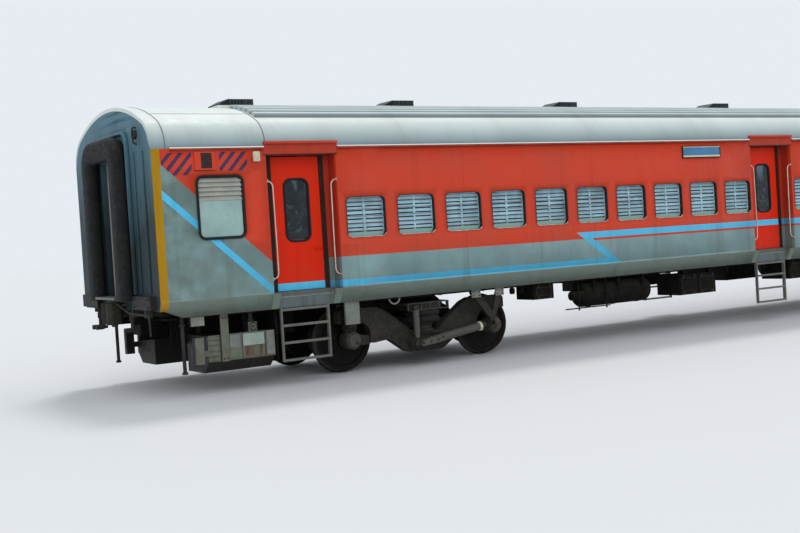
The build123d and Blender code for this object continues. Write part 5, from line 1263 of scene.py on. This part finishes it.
# %% Wheelsets
half = [(1.138, 0.0), (1.14, 0.062), (0.935, 0.065), (0.934, 0.115), (0.926, 0.122), (0.905, 0.128)]
half += [(0.893, 0.16), (0.884, 0.23), (0.886, 0.31), (0.897, 0.36), (0.916, 0.378), (0.926, 0.386)]
half += [(0.927, 0.452), (0.923, 0.4570), (0.850, 0.4575), (0.838, 0.460), (0.831, 0.468), (0.823, 0.4835)]
half += [(0.816, 0.4855), (0.808, 0.4855), (0.801, 0.478), (0.80, 0.392), (0.808, 0.378), (0.838, 0.35)]
half += [(0.848, 0.29), (0.842, 0.20), (0.82, 0.135), (0.782, 0.125), (0.775, 0.085), (0.488, 0.085)]
half += [(0.485, 0.14), (0.485, 0.314), (0.480, 0.32), (0.438, 0.32), (0.436, 0.20), (0.424, 0.20)]
half += [(0.422, 0.32), (0.380, 0.32), (0.375, 0.314), (0.375, 0.14), (0.372, 0.085)]
wheels = Piece()
lathe(wheels, half + [(-y, radius) for y, radius in reversed(half)], (0, 0, AXLE_Z), 1, 72)
axles = [bogie + end * AXLE_X for bogie in (-BOGIE_X, BOGIE_X) for end in (-1, 1)]
for number, x in enumerate(axles, start=1):
    body = f"wheelset_{number}"
    wheels.build(f"{body}_turned", WHEEL_STEEL, at(x), body, stands_for=(body,), smooth=32)

# %% [markdown]
# ## Under the solebar
# Pale plates carry the damper brackets, and every equipment box has its lids
# and latches and hangs from a frame. Two air reservoirs lie behind a shelf,
# pipes run the length of the coach, and thin sheets with a centre sill close
# the view under its ends.

# %% Plates, rings and lids
BOXES = ((-5.45, -5.04, 0.81, 1.06, 1), (-2.21, -1.32, 0.62, 0.98, 2), (0.65, 2.60, 0.70, 1.04, 4))
BOX_Y = -1.35
plates, lids, latches = Piece(), Piece(), Piece()
for x0, x1 in ((0.723, 0.89), (1.176, 1.336)):
    boxes(plates, 0.004, (x0, -1.448, 0.95, x1, -1.428, 1.075))
    bolts(lids, [(x, -1.456, z) for x in (x0 + 0.03, x1 - 0.03) for z in (0.98, 1.04)], 1, 0.010, 0.008)
lathe(lids, [(-1.446, 0.030), (-1.44, 0.036), (-1.36, 0.036), (-1.352, 0.030)], (1.11, 0, 0.54), 1, 16)
ring = [(0.09 * np.cos(t) - 0.68, -1.452, 1.07 - 0.09 * np.sin(t)) for t in np.linspace(0.1, np.pi - 0.1, 14)]
tube(plates, ring, 0.013, 8, across=(0, 1, 0))
plates, lids = (piece.placed((1, 1, -BOGIE_X), (-1, 1, BOGIE_X)) for piece in (plates, lids))
boxes(plates, 0.006, (-8.958, -1.446, 0.742, -8.722, -1.40, 1.10))
for x0, x1, z0, z1, count in BOXES:
    edges = np.linspace(x0, x1, count + 1)
    for a, b in zip(edges[:-1] + 0.02, edges[1:] - 0.02):
        loop = np.array([(a, z0 + 0.03), (b, z0 + 0.03), (b, z1 - 0.03), (a, z1 - 0.03)])
        slab(lids, loop, BOX_Y + 0.002, BOX_Y - 0.010)
        bead(latches, inset(loop, 0.03), 0.008, BOX_Y - 0.008, BOX_Y - 0.014)
        for x in (a + 0.07, b - 0.07):
            boxes(latches, 0.003,
                  (x - 0.016, BOX_Y - 0.024, z1 - 0.075, x + 0.016, BOX_Y - 0.008, z1 - 0.012),
                  (x - 0.022, BOX_Y - 0.018, z0 + 0.012, x + 0.022, BOX_Y - 0.006, z0 + 0.045))

# %% Reservoirs, pipes and sheets
TANK_RIGHT, TANK_RADIUS, TANK_Z = -2.79, 0.21, 0.80
NEAR_TANK, FAR_TANK = (-4.40, -1.12), (-4.02, -0.66)
PIPES = ((-1.27, 1.055, 0.021), (-1.20, 1.06, 0.016), (-1.15, 1.055, 0.021), (-0.62, 1.045, 0.03))
SHEETS = ((9.40, 11.30, -0.66, -0.64, 0.66, 1.11), (10.02, 10.05, -1.39, -0.75, 0.34, 1.11))
SHEETS += ((8.40, 11.55, -0.15, 0.15, 0.80, 0.98),)
reservoirs, runs = Piece(), Piece()
dome = np.linspace(0, np.pi / 2, 8)
for start, y in (NEAR_TANK, FAR_TANK):
    left = [(start + 0.12 * (1 - np.cos(a)), max(TANK_RADIUS * np.sin(a), 0.004)) for a in dome]
    right = [(start + TANK_RIGHT - x, radius) for x, radius in reversed(left)]
    lathe(reservoirs, left + right, (0, y, TANK_Z), 0, 28)
band = np.array([(-0.025, 0.0), (-0.022, 0.006), (0.022, 0.006), (0.025, 0.0)]) + (0, TANK_RADIUS)
for x in (-4.15, -3.60, -3.05):
    lathe(reservoirs, band, (x, NEAR_TANK[1], TANK_Z), 0, 28)
    boxes(reservoirs, 0.003, (x - 0.03, -1.335, TANK_Z, x + 0.03, -1.315, 1.11),
          (x - 0.03, -1.33, 1.0, x + 0.03, -0.64, 1.05))
lathe(reservoirs, [(-4.62, 0.05), (-4.60, 0.075), (-4.37, 0.075), (-4.36, 0.06)], (0, -1.25, TANK_Z), 0, 18)
boxes(reservoirs, 0.003, (-4.80, -1.36, 0.588, -3.84, -1.33, 0.606),
      *[(x - 0.014, -1.36, 0.56, x + 0.014, -1.345, 1.11) for x in (-4.52, -3.92)])
for y, z, radius in PIPES:
    lathe(runs, [(-11.6, radius), (11.6, radius)], (0, y, z), 0, 10)
for x in np.arange(-11.2, 11.3, 0.8):
    boxes(runs, 0.003, (x - 0.015, -1.31, 1.03, x + 0.015, -1.10, 1.115))
for end, (x0, x1, y0, y1, z0, z1) in itertools.product((-1, 1), SHEETS):
    boxes(runs, 0.003, (end * x0, y0, z0, end * x1, y1, z1))
for x0, x1, z0, z1, count in BOXES:
    boxes(runs, 0.003, (x0 + 0.04, BOX_Y + 0.06, z1 - 0.01, x1 - 0.04, BOX_Y + 0.08, 1.108))
valve = [(0.93, 0.03), (0.95, 0.045), (1.02, 0.045), (1.03, 0.02), (1.10, 0.02)]
for x in (-5.78, -5.6, -0.9, 0.1, 3.1, 4.4, 5.2):
    lathe(runs, valve, (x, -1.22, 0), 2, 12)
reservoirs.build("air_reservoirs", UNDERFLOOR_SHADE_PAINT, stands_for=("air_tanks",))
runs.build("underfloor_pipes", UNDERFLOOR_SHADE_PAINT)
plates.build("solebar_plates", PLATE_PAINT)
lids.build("equipment_lids", UNDERFLOOR_SHADE_PAINT)
latches.build("equipment_latches", GEAR_PAINT)

# %% [markdown]
# ## Everything carried over
# The structural parts that already have the right shape keep it and only
# get a finish.

# %% Finishes for the structure
dress(GUTTER_PAINT, "gutters")
dress(STEP_PAINT, "fall_plates")
dress(FLOOR_PAINT, "floor")
dress(INNER_LINING, "screens", "corridor_walls")
dress(BOARD_PAINT, "name_boards")
dress(TANK_PAINT, "waste_tanks")
dress(BLACK_PAINT, "headstocks")
dress(GEAR_PAINT, "bogie_1_bolster", "bogie_2_bolster", "couplers", "yaw_brackets")
dress(UNDERFLOOR_SHADE_PAINT, "underframe", "battery_boxes")

# %% [markdown]
# ## Floor, backdrop and light
# A plain pale floor and a bright, even sky show the coach's own colours. One
# soft lamp high behind it draws the light line along the roof, as the hazy
# sun does in the photograph.

# %% The stage
STAGE_HALF = 160
stage_paint = Finish("stage_floor", None, 0.9).done((212, 213, 213))
mesh = bpy.data.meshes.new("stage_floor")
corners = [(x * STAGE_HALF, y * STAGE_HALF, 0) for x, y in ((-1, -1), (1, -1), (1, 1), (-1, 1))]
mesh.from_pydata(corners, [], [[0, 1, 2, 3]])
mesh.materials.append(stage_paint.material)
floor = bpy.data.objects.new("stage_floor", mesh)
bpy.context.scene.collection.objects.link(floor)

world = bpy.data.worlds.new("even_sky")
world.use_nodes = True
bpy.context.scene.world = world
sky = world.node_tree.nodes["Background"]
sky.inputs["Color"].default_value = srgb(236, 241, 248)
sky.inputs["Strength"].default_value = 0.95


def lamp(name, strength, direction, spread):
    """A distant lamp that shines along a direction."""
    data = bpy.data.lights.new(name, "SUN")
    data.energy = strength
    data.angle = np.radians(spread)
    item = bpy.data.objects.new(name, data)
    back = -unit(np.array(direction))
    side = unit(np.cross((0, 0, 1), back))
    item.matrix_world = Matrix(np.column_stack([side, np.cross(back, side), back]).tolist()).to_4x4()
    bpy.context.scene.collection.objects.link(item)


lamp("hazy_sun", 1.1, (-0.35, -0.45, -1.0), 12)
lamp("front_fill", 0.5, (0.35, 1.0, -0.5), 50)
bpy.context.scene.view_settings.view_transform = "Standard"
